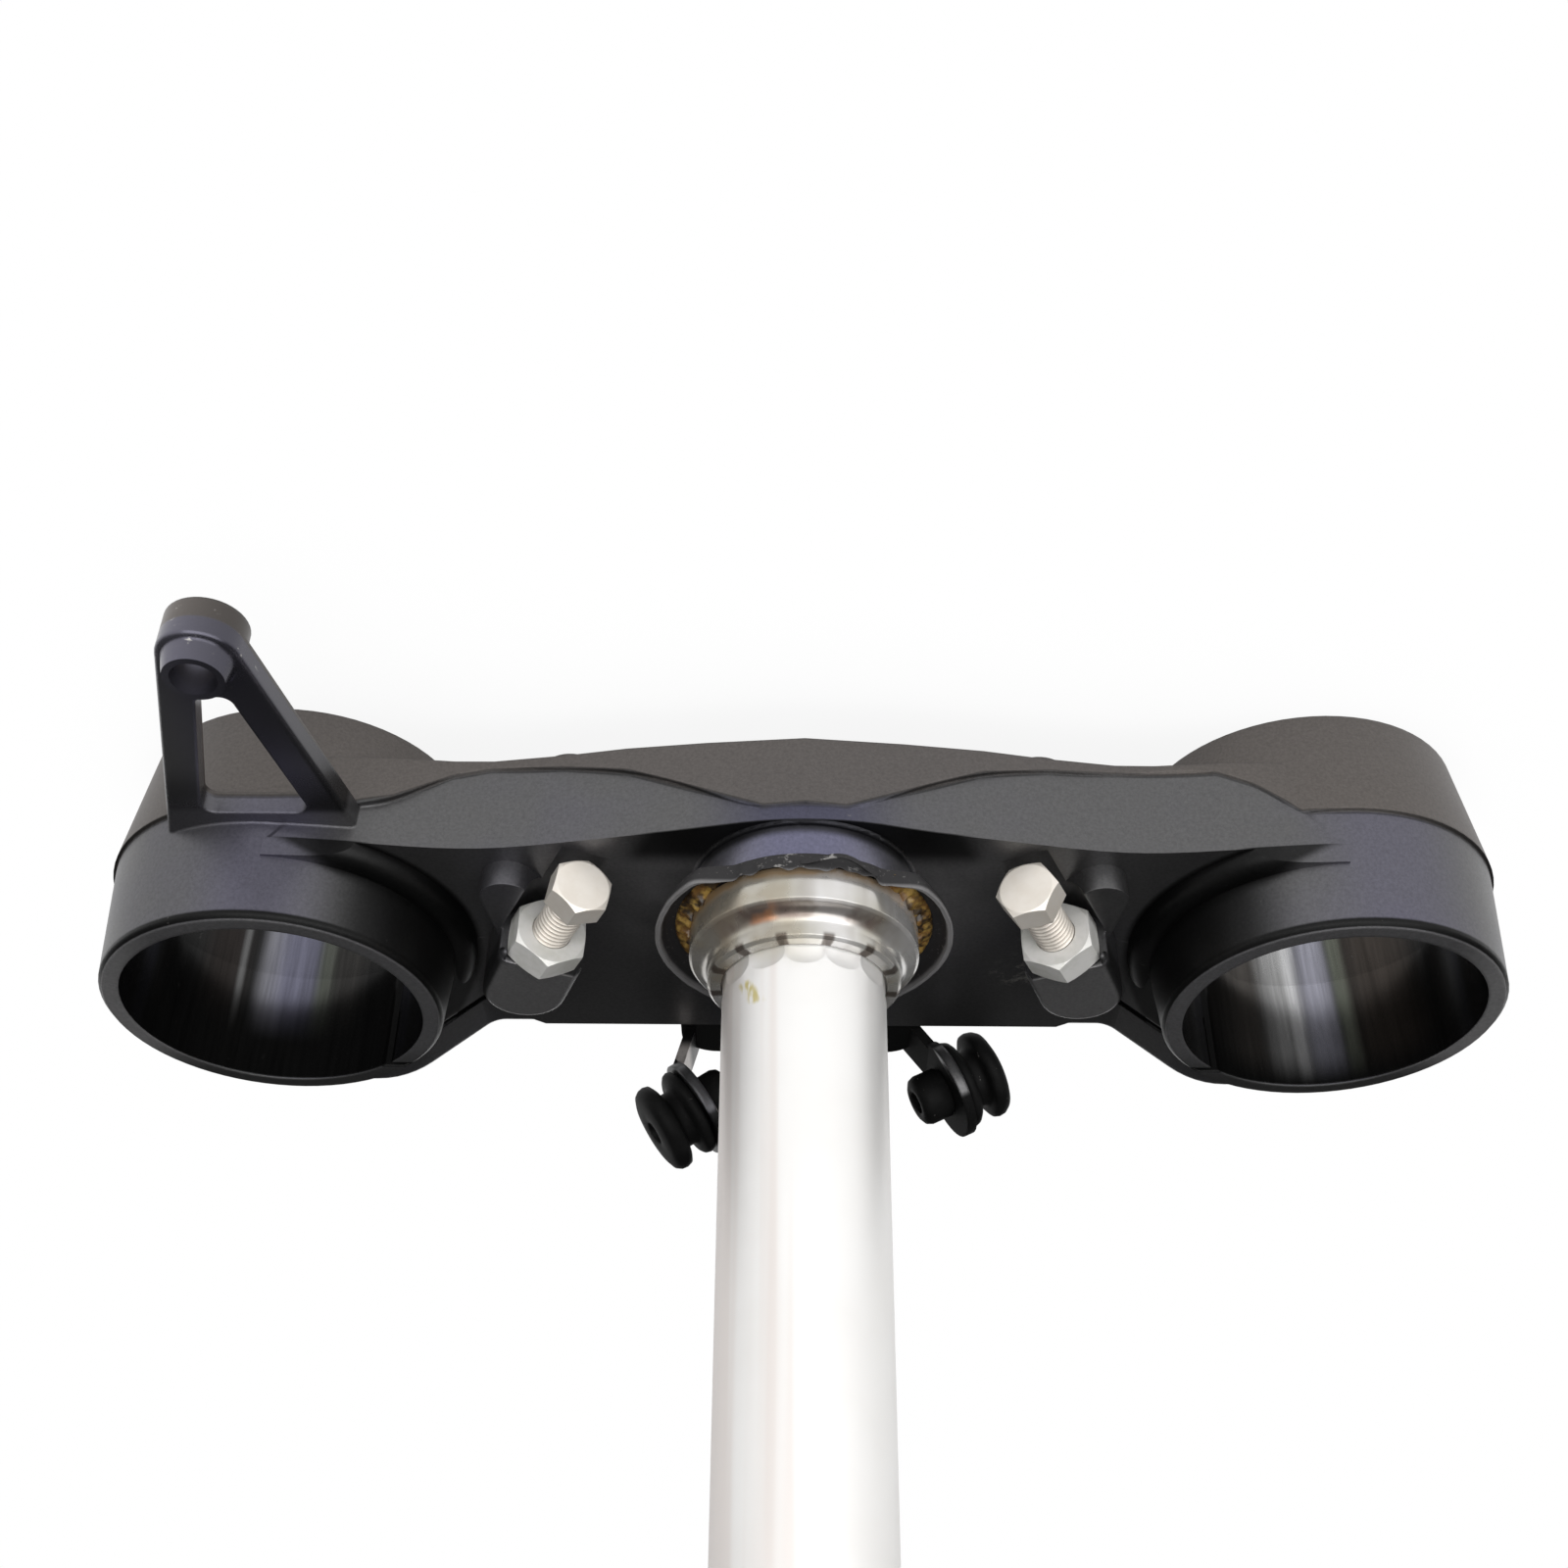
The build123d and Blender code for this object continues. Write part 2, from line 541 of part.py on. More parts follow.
# Rubber grommets in the front lugs
for name in sides:
    with BuildPart() as grommet:
        plane = lug_plane(name)
        with BuildSketch(Plane(plane.origin, plane.x_dir, plane.x_dir.cross(plane.z_dir))):
            with BuildLine():
                bore = GROMMET_BORE / 2
                hub = GROMMET_HUB / 2
                groove = GROMMET_GROOVE / 2
                neck = LUG_HOLE / 2 - RUBBER_GAP
                flange = GROMMET_FLANGE / 2
                cheek = LUG_THICKNESS / 2 + RUBBER_GAP
                collar_end = cheek + GROMMET_COLLAR
                slot_end = collar_end + GROMMET_SLOT
                head_end = slot_end + GROMMET_HEAD
                hub_tip = -cheek - GROMMET_HUB_LENGTH
                Polyline((bore, hub_tip), (hub, hub_tip), (hub, -cheek), (neck, -cheek), (neck, cheek),
                         (flange, cheek), (flange, collar_end),
                         (groove, collar_end), (groove, slot_end), (flange, slot_end), (flange, head_end),
                         (bore, head_end), close=True)
            profile = make_face()
            rims = profile.vertices().filter_by(lambda point: abs(point.X - flange) < EDGE_MATCH)
            hub_points = profile.vertices().filter_by(lambda point: abs(point.X - hub) < EDGE_MATCH)
            fillet(rims, GROMMET_EDGE)
            fillet(hub_points.sort_by(Axis.Y)[0], GROMMET_HUB_EDGE)
        revolve(axis=Axis(plane.origin, plane.z_dir))
    label = f"grommet_{name}"
    grommet.part.label = label
    export_step(grommet.part, f"parts/{label}.step")
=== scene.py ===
from math import atan2, cos, pi, radians, sin

import bmesh
import bpy
from bpy.props import FloatProperty, FloatVectorProperty, IntProperty, PointerProperty
from bpy.types import Operator, Panel, PropertyGroup
from mathutils import Matrix, Vector


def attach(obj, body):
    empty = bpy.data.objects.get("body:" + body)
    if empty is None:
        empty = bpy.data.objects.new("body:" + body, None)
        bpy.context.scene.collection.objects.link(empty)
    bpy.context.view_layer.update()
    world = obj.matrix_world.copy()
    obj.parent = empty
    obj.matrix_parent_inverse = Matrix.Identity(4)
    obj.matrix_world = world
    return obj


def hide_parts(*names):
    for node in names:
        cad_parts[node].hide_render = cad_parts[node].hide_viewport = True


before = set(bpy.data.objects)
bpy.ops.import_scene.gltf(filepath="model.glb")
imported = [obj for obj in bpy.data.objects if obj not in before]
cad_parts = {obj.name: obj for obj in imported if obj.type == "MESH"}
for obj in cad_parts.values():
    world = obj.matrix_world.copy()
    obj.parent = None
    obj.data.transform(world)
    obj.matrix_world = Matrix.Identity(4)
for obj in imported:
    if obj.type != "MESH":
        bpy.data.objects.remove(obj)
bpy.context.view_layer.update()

bl_info = {
    "name": "Lower triple clamp",
    "version": (1, 0, 0),
    "blender": (4, 5, 0),
    "location": "3D View > Sidebar > Clamp",
    "description": "Finishes and small pieces of a used motorcycle lower triple clamp with its stem",
    "category": "Object",
}

MM = 0.001
SIDES = {"right": 1.0, "left": -1.0}
FULL_TURN = 2.0 * pi

# Places and sizes on the part, in millimetres.
FORK_X = 107.0
FORK_Y = 20.0
BORE_RADIUS = 30.0
RING_TOP = 9.0
RING_BOTTOM = -42.0
MOUTH_RADIUS = 35.0
WEB_TOP = -8.5
FRONT_EDGE = 57.0
SLOT_Y = 43.0
POST_X = 56.0
POST_TOP = 4.5
BRACKET_X = 82.0
BRACKET_Y = -19.0
HOSE_EYE = (105.2, -62.5)
LINT_PLACE = (-46.0, 32.0)
STOP_SEAT = (52.7, 11.4, -1.0)
LUG_CENTRES = {"right": (22.9, 66.0, 6.8), "left": (-33.2, 66.0, 1.9)}
RACE_GROOVE = 10.2
STROKE_HEIGHT = 23.0
THREAD_OVERLAP = 0.3
FLOOR_GAP = 0.05
FLOOR_SHADE_REACH = 70.0

# The line along the clamp, as x and z, where the milled band ends and the forged skin starts.
STEP_LINE = ((-104, -16.0), (-97, -16.5), (-89, -23.4), (-82, -27.0), (-62.5, -27.3), (-48, -26.3),
             (-34.6, -23.5), (-19, -16.5), (-8, -11.8), (0, -12.2), (8, -11.8), (19, -16.5),
             (34.6, -23.5), (48, -26.3), (62.5, -27.3), (70, -25.6), (81, -19.1), (92, -16.3),
             (104, -16.0))
# The ramp that holds that line: half its length, its lowest height and its range of heights.
STEP_SPAN = 110.0
STEP_DEEPEST = -32.0
STEP_RANGE = 24.0

# Turns and tilts of the bolts, the lugs and the marks, and the number of notches in the race.
STOP_ANGLE = radians(25.0)
STOP_TURNS = {"right": radians(22.0), "left": 0.0}
LUG_TILTS = {"right": radians(35.0), "left": radians(26.0)}
RACE_NOTCHES = 13.0
RUST_TURN = radians(-66.0)
STROKE_TURN = radians(-50.0)

# Painted reflections streaked along the bores: the turn about the fork's axis over pi, the half width and
# the colour.
BORE_REFLECTIONS = {
    "right": (
        (0.27, 0.05, (0.034, 0.029, 0.027)),
        (0.314, 0.008, (0.15, 0.15, 0.15)),
        (0.39, 0.03, (0.3, 0.3, 0.33)),
        (0.44, 0.05, (0.2, 0.2, 0.27)),
        (0.51, 0.02, (0.13, 0.14, 0.12)),
        (0.56, 0.04, (0.045, 0.043, 0.041)),
    ),
    "left": (
        (0.41, 0.06, (0.085, 0.078, 0.072)),
        (0.5, 0.045, (0.46, 0.46, 0.46)),
        (0.527, 0.014, (0.72, 0.72, 0.73)),
        (0.58, 0.035, (0.4, 0.4, 0.47)),
        (0.638, 0.016, (0.2, 0.22, 0.18)),
        (0.73, 0.08, (0.065, 0.055, 0.048)),
    ),
}
# Heights at which the streaks start and are full.
STREAK_ENDS = {"right": (1.0, -12.0), "left": (9.0, 0.0)}

# Profiles to turn, as radius and height in millimetres.
GROMMET_PROFILE = ((2.5, -8.0), (3.0, -8.25), (4.2, -8.2), (5.2, -7.6), (5.7, -6.4), (5.7, -1.8),
                   (5.3, -1.25), (4.35, -1.25), (4.35, 1.25), (9.2, 1.25), (9.9, 1.7), (10.2, 2.5),
                   (9.9, 3.3), (9.2, 3.8), (7.4, 3.95), (6.7, 4.3), (6.5, 5.0), (6.5, 6.0), (6.8, 6.8),
                   (7.6, 7.1), (9.0, 7.2), (9.9, 7.7), (10.2, 8.7), (10.0, 9.8), (9.3, 10.7),
                   (8.0, 11.2), (5.5, 11.4), (3.2, 11.45), (2.7, 11.3), (2.5, 10.8), (2.5, -8.0))
GROMMET_SOFT_RADIUS = 7.0
GREASE_PROFILE = ((22.1, 1.4), (22.15, 4.3), (22.5, 4.6), (23.0, 4.2), (23.5, 3.4), (24.1, 3.1),
                  (24.7, 2.5), (25.1, 1.8), (25.1, 1.3))
GREASE_FLOOR = 1.4
GREASE_RUNS = {"right": (radians(-44.0), radians(70.0)), "left": (radians(150.0), radians(78.0))}
STRIP_PROFILE = ((0.0, 2.0), (0.45, 2.1), (0.35, 3.0), (0.0, 2.9))
STRIP_RADIUS = 23.9
STRIP_START = radians(-124.0)
STRIP_SWEEP = radians(36.0)
SEAL_HELD_RADIUS = 22.4
SEAL_TORN_TURN = radians(-92.0)
SEAL_TORN_HALF = radians(52.0)
SEAL_TORN_EASE = radians(18.0)

# Waves about the stem in the crumpled lip and the grease: how many, their phase and their share.
CRUMPLE_WAVES = ((23.0, 0.0, 0.35), (41.0, 1.0, 0.25), (9.0, 0.4, 0.4))
LUMP_WAVES = ((23.0, 0.0, 0.2), (47.0, 2.0, 0.15), (71.0, 0.7, 0.12))

# Steps that the turned shapes are made in, and the angles over which their edges stay sharp.
SEAL_STEPS = 240
STRIP_STEPS = 40
GREASE_STEPS = 60
HEAD_STEPS = 96
THREAD_STEPS = 36
GROMMET_STEPS = 72
RUBBER_CREASE = radians(50.0)
GREASE_CREASE = radians(60.0)
BOLT_CREASE = radians(20.0)

# Colours of the shades and marks on the finishes.
DEEP_SHADE = (0.012, 0.012, 0.012)
CORNER_SHADE = (0.01, 0.01, 0.01)
# Black for the dark flecks on the posts, and for a painted shade line along the step.
DIRT_AND_SHADE_BLACK = (0.02, 0.02, 0.02)
FORGED_PATCH = (0.118, 0.108, 0.104)
RIM_HIGHLIGHT = (0.42, 0.415, 0.42)
RIM_SHADE = (0.08, 0.08, 0.08)
POST_GREY = (0.3, 0.295, 0.3)
HAZE_GREY = (0.36, 0.35, 0.36)
DUST_GREY = (0.28, 0.27, 0.26)
SCRATCH_PALE = (0.62, 0.6, 0.57)
LINT_PALE = (0.62, 0.6, 0.56)
LUG_REFLECTION = (0.42, 0.39, 0.37)
STEM_CLOUD = (0.9, 0.885, 0.865)
STEM_DRAWN = (0.84, 0.79, 0.76)
STEM_STAIN = (0.66, 0.62, 0.5)
STROKE_YELLOW = (0.6, 0.5, 0.12)
RACE_PATCH = (0.5, 0.48, 0.41)
RACE_BAND = (0.34, 0.31, 0.26)
RACE_GROOVE_SHADE = (0.16, 0.115, 0.1)
NOTCH_BROWN = (0.08, 0.055, 0.04)
NICKEL_PATCH = (0.8, 0.74, 0.66)
ZINC_PATCH = (0.64, 0.64, 0.59)
OXIDE_PATCH = (0.08, 0.078, 0.075)
THREAD_DIRT_AND_SHADE = (0.16, 0.12, 0.085)
SEAL_GLINT = (0.42, 0.41, 0.4)
SEAL_DUST = (0.3, 0.29, 0.28)
GROMMET_PATCH = (0.009, 0.009, 0.009)
GROMMET_FLECK = (0.4, 0.39, 0.37)
GREASE_BROWN = (0.15, 0.075, 0.02)
GREASE_BLACK = (0.03, 0.018, 0.009)
FLOOR_GREY = (0.8, 0.8, 0.8)
WHITE = (1.0, 1.0, 1.0)

ROOT_DIRT_AND_SHADE = "grime"


class ClampFinish(PropertyGroup):
    """Black finish of the forging."""

    milled_black: FloatVectorProperty(
        name="Milled black", description="Anodised colour of the milled faces",
        subtype="COLOR", size=3, min=0, max=1, default=(0.118, 0.117, 0.119))
    forged_black: FloatVectorProperty(
        name="Forged black", description="Browner colour of the faces left as forged",
        subtype="COLOR", size=3, min=0, max=1, default=(0.128, 0.114, 0.104))
    # Painted reflection: a lavender tint laid on the milled faces where they would mirror a light.
    lavender_reflection: FloatVectorProperty(
        name="Lavender sheen", description="Tint of the thin dye film where it catches the light",
        subtype="COLOR", size=3, min=0, max=1, default=(0.125, 0.12, 0.168))
    # Painted reflection: a deeper lavender tint down the middle of the clamp.
    middle_lavender_reflection: FloatVectorProperty(
        name="Middle lavender", description="Deeper tint round the steering axis",
        subtype="COLOR", size=3, min=0, max=1, default=(0.068, 0.068, 0.108))
    # Painted shade: a darker black inside the bores than outside.
    shaded_bore_black: FloatVectorProperty(
        name="Bore black", description="Colour inside the fork bores",
        subtype="COLOR", size=3, min=0, max=1, default=(0.024, 0.024, 0.024))
    rim_grey: FloatVectorProperty(
        name="Rim grey", description="Rubbed grey of the ring mouths",
        subtype="COLOR", size=3, min=0, max=1, default=(0.2, 0.198, 0.205))
    milled_roughness: FloatProperty(
        name="Milled roughness", description="Satin of the milled faces",
        subtype="FACTOR", min=0, max=1, default=0.4)
    forged_roughness: FloatProperty(
        name="Forged roughness", description="Satin of the forged faces",
        subtype="FACTOR", min=0, max=1, default=0.5)
    edge_round: FloatProperty(
        name="Broken edge", description="Radius by which the edges look broken",
        subtype="DISTANCE", unit="LENGTH", min=0, max=0.002, precision=5, default=0.001)


class MetalFinish(PropertyGroup):
    """Bare and plated metal."""

    stem_aluminium: FloatVectorProperty(
        name="Stem aluminium", description="Bright turned aluminium of the stem",
        subtype="COLOR", size=3, min=0, max=1, default=(0.93, 0.92, 0.905))
    race_steel: FloatVectorProperty(
        name="Race steel", description="Ground steel of the bearing race",
        subtype="COLOR", size=3, min=0, max=1, default=(0.8, 0.79, 0.785))
    stain_brown: FloatVectorProperty(
        name="Brown stain", description="Old grease baked on the race",
        subtype="COLOR", size=3, min=0, max=1, default=(0.26, 0.15, 0.05))
    stain_orange: FloatVectorProperty(
        name="Orange stain", description="Rust mark on the race collar",
        subtype="COLOR", size=3, min=0, max=1, default=(0.62, 0.26, 0.1))
    bolt_nickel: FloatVectorProperty(
        name="Bolt nickel", description="Warm plating of the stop bolts",
        subtype="COLOR", size=3, min=0, max=1, default=(0.86, 0.81, 0.74))
    nut_zinc: FloatVectorProperty(
        name="Nut zinc", description="Dull plating of the lock nuts",
        subtype="COLOR", size=3, min=0, max=1, default=(0.8, 0.79, 0.765))
    bolt_black: FloatVectorProperty(
        name="Bolt black", description="Oxide of the pinch bolts",
        subtype="COLOR", size=3, min=0, max=1, default=(0.05, 0.05, 0.052))


class RubberFinish(PropertyGroup):
    """Rubber and grease."""

    seal_grey: FloatVectorProperty(
        name="Seal grey", description="Rubber of the dust seal",
        subtype="COLOR", size=3, min=0, max=1, default=(0.022, 0.021, 0.022))
    seal_edge: FloatVectorProperty(
        name="Seal edge", description="Dusty lip of the dust seal",
        subtype="COLOR", size=3, min=0, max=1, default=(0.22, 0.215, 0.217))
    grommet_black: FloatVectorProperty(
        name="Grommet black", description="Rubber of the grommets",
        subtype="COLOR", size=3, min=0, max=1, default=(0.005, 0.005, 0.005))
    grease_gold: FloatVectorProperty(
        name="Grease gold", description="Old grease between the seal and the race",
        subtype="COLOR", size=3, min=0, max=1, default=(0.36, 0.23, 0.06))


class StopBoltSizes(PropertyGroup):
    """Steering stop bolts, with sizes along the bolt from its seat on the post."""

    head_flats: FloatProperty(
        name="Head across flats", description="Spanner size of the head",
        subtype="DISTANCE", unit="LENGTH", min=0.008, max=0.02, default=11.0 * MM)
    head_height: FloatProperty(
        name="Head height", description="Height of the head",
        subtype="DISTANCE", unit="LENGTH", min=0.002, max=0.01, default=5.5 * MM)
    head_seat: FloatProperty(
        name="Head seat", description="Where the head starts",
        subtype="DISTANCE", unit="LENGTH", min=0.01, max=0.04, default=19.0 * MM)
    thread_crest: FloatProperty(
        name="Thread crest", description="Radius over the thread",
        subtype="DISTANCE", unit="LENGTH", min=0.002, max=0.008, default=4.0 * MM)
    thread_root: FloatProperty(
        name="Thread root", description="Radius under the thread",
        subtype="DISTANCE", unit="LENGTH", min=0.002, max=0.008, default=3.45 * MM)
    thread_pitch: FloatProperty(
        name="Thread pitch", description="Advance of one turn",
        subtype="DISTANCE", unit="LENGTH", min=0.0005, max=0.002, default=1.25 * MM)
    turns: IntProperty(
        name="Turns", description="Turns of thread that are cut", min=1, max=40, default=28)


class SealSizes(PropertyGroup):
    """Dust seal under the race."""

    rim: FloatProperty(
        name="Lip radius", description="Radius over the lip",
        subtype="DISTANCE", unit="LENGTH", min=0.02, max=0.04, default=29.0 * MM)
    bore: FloatProperty(
        name="Bore radius", description="Radius of the hole round the stem",
        subtype="DISTANCE", unit="LENGTH", min=0.01, max=0.02, default=15.92 * MM)
    lip_height: FloatProperty(
        name="Lip height", description="Height of the upturned lip",
        subtype="DISTANCE", unit="LENGTH", min=0.002, max=0.01, default=4.5 * MM)
    strip_bow: FloatProperty(
        name="Strip bow", description="How far the torn strip bows out",
        subtype="DISTANCE", unit="LENGTH", min=0, max=0.005, default=1.3 * MM)


class StageSettings(PropertyGroup):
    """Floor, lamps and camera."""

    camera_place: FloatVectorProperty(
        name="Camera place", description="Where the camera stands",
        subtype="TRANSLATION", unit="LENGTH", size=3,
        default=(3.7463 * MM, -297.4467 * MM, 191.2104 * MM))
    camera_azimuth: FloatProperty(
        name="Camera azimuth", description="Turn of the view about the steering axis",
        subtype="ANGLE", unit="ROTATION", default=radians(-0.07))
    camera_elevation: FloatProperty(
        name="Camera elevation", description="Angle of the view below level",
        subtype="ANGLE", unit="ROTATION", default=radians(37.1))
    camera_roll: FloatProperty(
        name="Camera roll", description="The part is seen upside down",
        subtype="ANGLE", unit="ROTATION", default=radians(180.43))
    lens: FloatProperty(
        name="Lens", description="Focal length on a 36 mm film", min=10, max=200, default=41.31)
    floor_radius: FloatProperty(
        name="Floor radius", description="Radius of the pale floor",
        subtype="DISTANCE", unit="LENGTH", min=1, max=20, default=4.0)
    softbox_place: FloatVectorProperty(
        name="Softbox place", description="Where the broad lamp hangs behind the part",
        subtype="TRANSLATION", unit="LENGTH", size=3, default=(-0.15, -0.75, 0.45))
    softbox_size: FloatVectorProperty(
        name="Softbox size", description="Width and height of the broad lamp",
        subtype="XYZ", unit="LENGTH", size=2, min=0.1, max=5, default=(1.5, 0.7))
    softbox_power: FloatProperty(
        name="Softbox power", description="Power of the broad lamp behind the part",
        unit="POWER", min=0, max=100, default=7.0)


class Wire:
    """One shader socket. Sums and products of wires and numbers add Math nodes to its material."""

    def __init__(self, tree, socket=None):
        self.tree = tree
        self.socket = socket

    def node(self, kind, settings, sockets, out=0):
        """Add a node of any kind: its settings first, then the values or wires of its sockets."""
        made = self.tree.nodes.new(kind)
        for key, value in settings.items():
            if key == "stops":
                set_stops(made.color_ramp, value)
            else:
                setattr(made, key, value)
        for key, value in sockets.items():
            if isinstance(value, Wire):
                self.tree.links.new(value.socket, made.inputs[key])
            else:
                made.inputs[key].default_value = value
        return Wire(self.tree, made.outputs[out])

    def math(self, operation, *values):
        """Add a Math node of these values or wires."""
        return self.node("ShaderNodeMath", {"operation": operation}, dict(enumerate(values)))

    def __add__(self, other):
        return self.math("ADD", self, other)

    __radd__ = __add__

    def __sub__(self, other):
        return self.math("SUBTRACT", self, other)

    def __rsub__(self, other):
        return self.math("SUBTRACT", other, self)

    def __mul__(self, other):
        return self.math("MULTIPLY", self, other)

    __rmul__ = __mul__

    def __truediv__(self, other):
        return self.math("DIVIDE", self, other)

    def __pow__(self, other):
        return self.math("POWER", self, other)

    def __abs__(self):
        return self.math("ABSOLUTE", self)

    def __gt__(self, other):
        return self.math("GREATER_THAN", self, other)

    def capped(self, most=1.0):
        """This value, but no more than most."""
        return self.math("MINIMUM", self, most)

    def fade(self, low, high, start=0.0, end=1.0):
        """Ease from start to end as the value goes from low to high."""
        return self.node("ShaderNodeMapRange", {"interpolation_type": "SMOOTHSTEP"},
                         {0: self, 1: low, 2: high, 3: start, 4: end})

    def tint(self, first, second):
        """Colour between first and second by this value."""
        return self.node("ShaderNodeMix", {"data_type": "RGBA"},
                         {0: self, 6: opaque(first), 7: opaque(second)}, 2)

    def shade(self, skin):
        """Colour skin times this value."""
        return self.node("ShaderNodeMix", {"data_type": "RGBA", "blend_type": "MULTIPLY"},
                         {0: 1.0, 6: skin, 7: self}, 2)

    def spots(self, scale, detail=2.0, roughness=0.5, stretch=None):
        """Noise at this place, with the pattern drawn out by stretch."""
        place = self
        if stretch:
            place = self.node("ShaderNodeMapping", {}, {0: self, 3: stretch})
        return self.node("ShaderNodeTexNoise", {}, {0: place, "Scale": scale, "Detail": detail,
                                                    "Roughness": roughness})

    def axes(self):
        """The three parts of this vector."""
        parts = self.node("ShaderNodeSeparateXYZ", {}, {0: self})
        return [Wire(self.tree, parts.socket.node.outputs[index]) for index in range(3)]

    def millimetres(self):
        """The three parts of this place, in millimetres."""
        return [axis / MM for axis in self.axes()]


def set_stops(ramp, stops):
    """Give a colour ramp its stops, each a position and a colour."""
    while len(ramp.elements) > 1:
        ramp.elements.remove(ramp.elements[-1])
    ramp.elements[0].position = stops[0][0]
    ramp.elements[0].color = stops[0][1]
    for position, tone in stops[1:]:
        ramp.elements.new(position).color = tone


def opaque(tone):
    """A wire as it is, or a colour with full alpha."""
    if isinstance(tone, Wire):
        return tone
    return (*tone, 1.0)


def hypotenuse(across, along):
    """Length over two legs at a right angle."""
    return (across ** 2.0 + along ** 2.0) ** 0.5


def new_finish(name):
    """An empty material, its Principled shader and its Object coordinates."""
    material = bpy.data.materials.new(name)
    material.use_nodes = True
    tree = material.node_tree
    shader = tree.nodes["Principled BSDF"]
    place = Wire(tree).node("ShaderNodeTexCoord", {}, {}, "Object")
    return material, shader, place


def connect(shader, **sockets):
    """Set or link the shader's sockets, with underscores for the spaces in their names."""
    for key, value in sockets.items():
        socket = shader.inputs[key.replace("_", " ")]
        if isinstance(value, Wire):
            value.tree.links.new(value.socket, socket)
        else:
            socket.default_value = value


def bumped(height, strength, distance, edge_round=0.0, crisp=None):
    """Surface direction from a height, over edges that look broken, apart from where they are crisp."""
    sockets = {"Height": height, "Strength": strength, "Distance": distance}
    if edge_round:
        sockets["Normal"] = height.node("ShaderNodeBevel", {"samples": 6}, {"Radius": edge_round})
    if crisp:
        plain = height.node("ShaderNodeNewGeometry", {}, {}, "Normal")
        sockets["Normal"] = height.node("ShaderNodeMix", {"data_type": "VECTOR"},
                                        {0: crisp, 4: sockets["Normal"], 5: plain}, 1)
    return height.node("ShaderNodeBump", {}, sockets)


class ForgingPlaces:
    """Values over the forging that its marks share, with lengths in millimetres."""

    def __init__(self, place):
        self.place = place
        self.x, self.y, self.z = place.millimetres()
        self.across = abs(self.x)
        self.ring = hypotenuse(self.across - FORK_X, self.y - FORK_Y)
        self.around = hypotenuse(self.x, self.y)
        self.step = step_height(place, self.x)
        self.forged = (self.step - self.z).fade(-0.3, 0.3)
        self.on_web = self.z.fade(WEB_TOP - 0.4, WEB_TOP - 0.1)
        self.bore = (self.ring.fade(BORE_RADIUS + 0.3, BORE_RADIUS + 0.1)
                     * self.z.fade(RING_TOP - 0.1, RING_TOP - 0.4))
        self.inside_mouth = self.ring.fade(MOUTH_RADIUS + 1.0, MOUTH_RADIUS)
        self.mouth = self.z.fade(RING_TOP - 0.35, RING_TOP - 0.1) * self.inside_mouth
        self.post = (self.z.fade(-3.0, 0.0) * self.y.fade(8.0, 10.0)
                     * abs(self.across - POST_X).fade(12.0, 10.0))
        self.bracket = (self.y.fade(BRACKET_Y + 1.0, BRACKET_Y - 1.0)
                        * self.x.fade(BRACKET_X - 2.0, BRACKET_X + 2.0))
        self.front = self.y.fade(FRONT_EDGE - 0.4, FRONT_EDGE + 0.6)
        self.film = place.spots(26.0, 3.0, 0.55)
        self.dust = place.spots(420.0, 5.0, 0.7).fade(0.66, 0.74)


def step_height(place, x):
    """Height of the line between the milled band and the forged skin, along the clamp."""
    stops = []
    for across, height in STEP_LINE:
        up = (height - STEP_DEEPEST) / STEP_RANGE
        stops.append(((across + STEP_SPAN) / (2 * STEP_SPAN), (up, up, up, 1.0)))
    along = (x + STEP_SPAN) / (2 * STEP_SPAN)
    level = place.node("ShaderNodeValToRGB", {"stops": stops}, {0: along})
    return level * STEP_RANGE + STEP_DEEPEST


def clean_forging(at, look):
    """Milled black with a faint lavender dye film and painted lavender reflections down the middle and on
    the rings, and browner black where the forging was left as it came.
    """
    middle = at.across.fade(24.0, 4.0)
    # Painted lavender reflections in a band across each ring; the dye film adds only a faint random share.
    right_ring_reflection = abs(at.x - 103.0).fade(16.0, 3.0)
    left_ring_reflection = abs(at.x + 113.0).fade(20.0, 3.0)
    lavender = (at.film.fade(0.45, 0.7) * 0.2 + (right_ring_reflection + left_ring_reflection) * 0.55).capped()
    milled = lavender.tint(look.milled_black, look.lavender_reflection)
    # Painted lavender reflection down the middle, over the band and the boss.
    milled = (middle * 0.85).tint(milled, look.middle_lavender_reflection)
    patch = at.place.spots(9.0, 2.0).fade(0.3, 0.7)
    return at.forged.tint(milled, patch.tint(look.forged_black, FORGED_PATCH))


def bore_wall(at, look):
    """Colour inside the fork bores: a painted shade, with painted light and dark reflections streaked along
    the wall that die out towards the mouth.
    """
    axis = at.x.math("SIGN", at.x) * FORK_X
    turn = at.x.math("ARCTAN2", at.y - FORK_Y, at.x - axis) / pi
    wander = (at.place.spots(60.0, 3.0, 0.6, (1.0, 1.0, 0.25)) - 0.5) * 0.02
    scuffs = at.place.spots(900.0, 3.0, 0.6, (1.0, 1.0, 0.04)).fade(0.2, 0.8, 0.75, 1.25)
    walls = {}
    for side, streaks in BORE_REFLECTIONS.items():
        # The wall starts from a painted shade and takes painted reflections streaked along it.
        wall = look.shaded_bore_black
        for middle, reach, tone in streaks:
            streak = abs(turn + wander - middle).fade(reach * 1.7, reach * 0.2)
            wall = (streak * at.z.fade(*STREAK_ENDS[side])).tint(wall, tone)
        walls[side] = wall
    return scuffs.shade((at.x > 0.0).tint(walls["left"], walls["right"]))


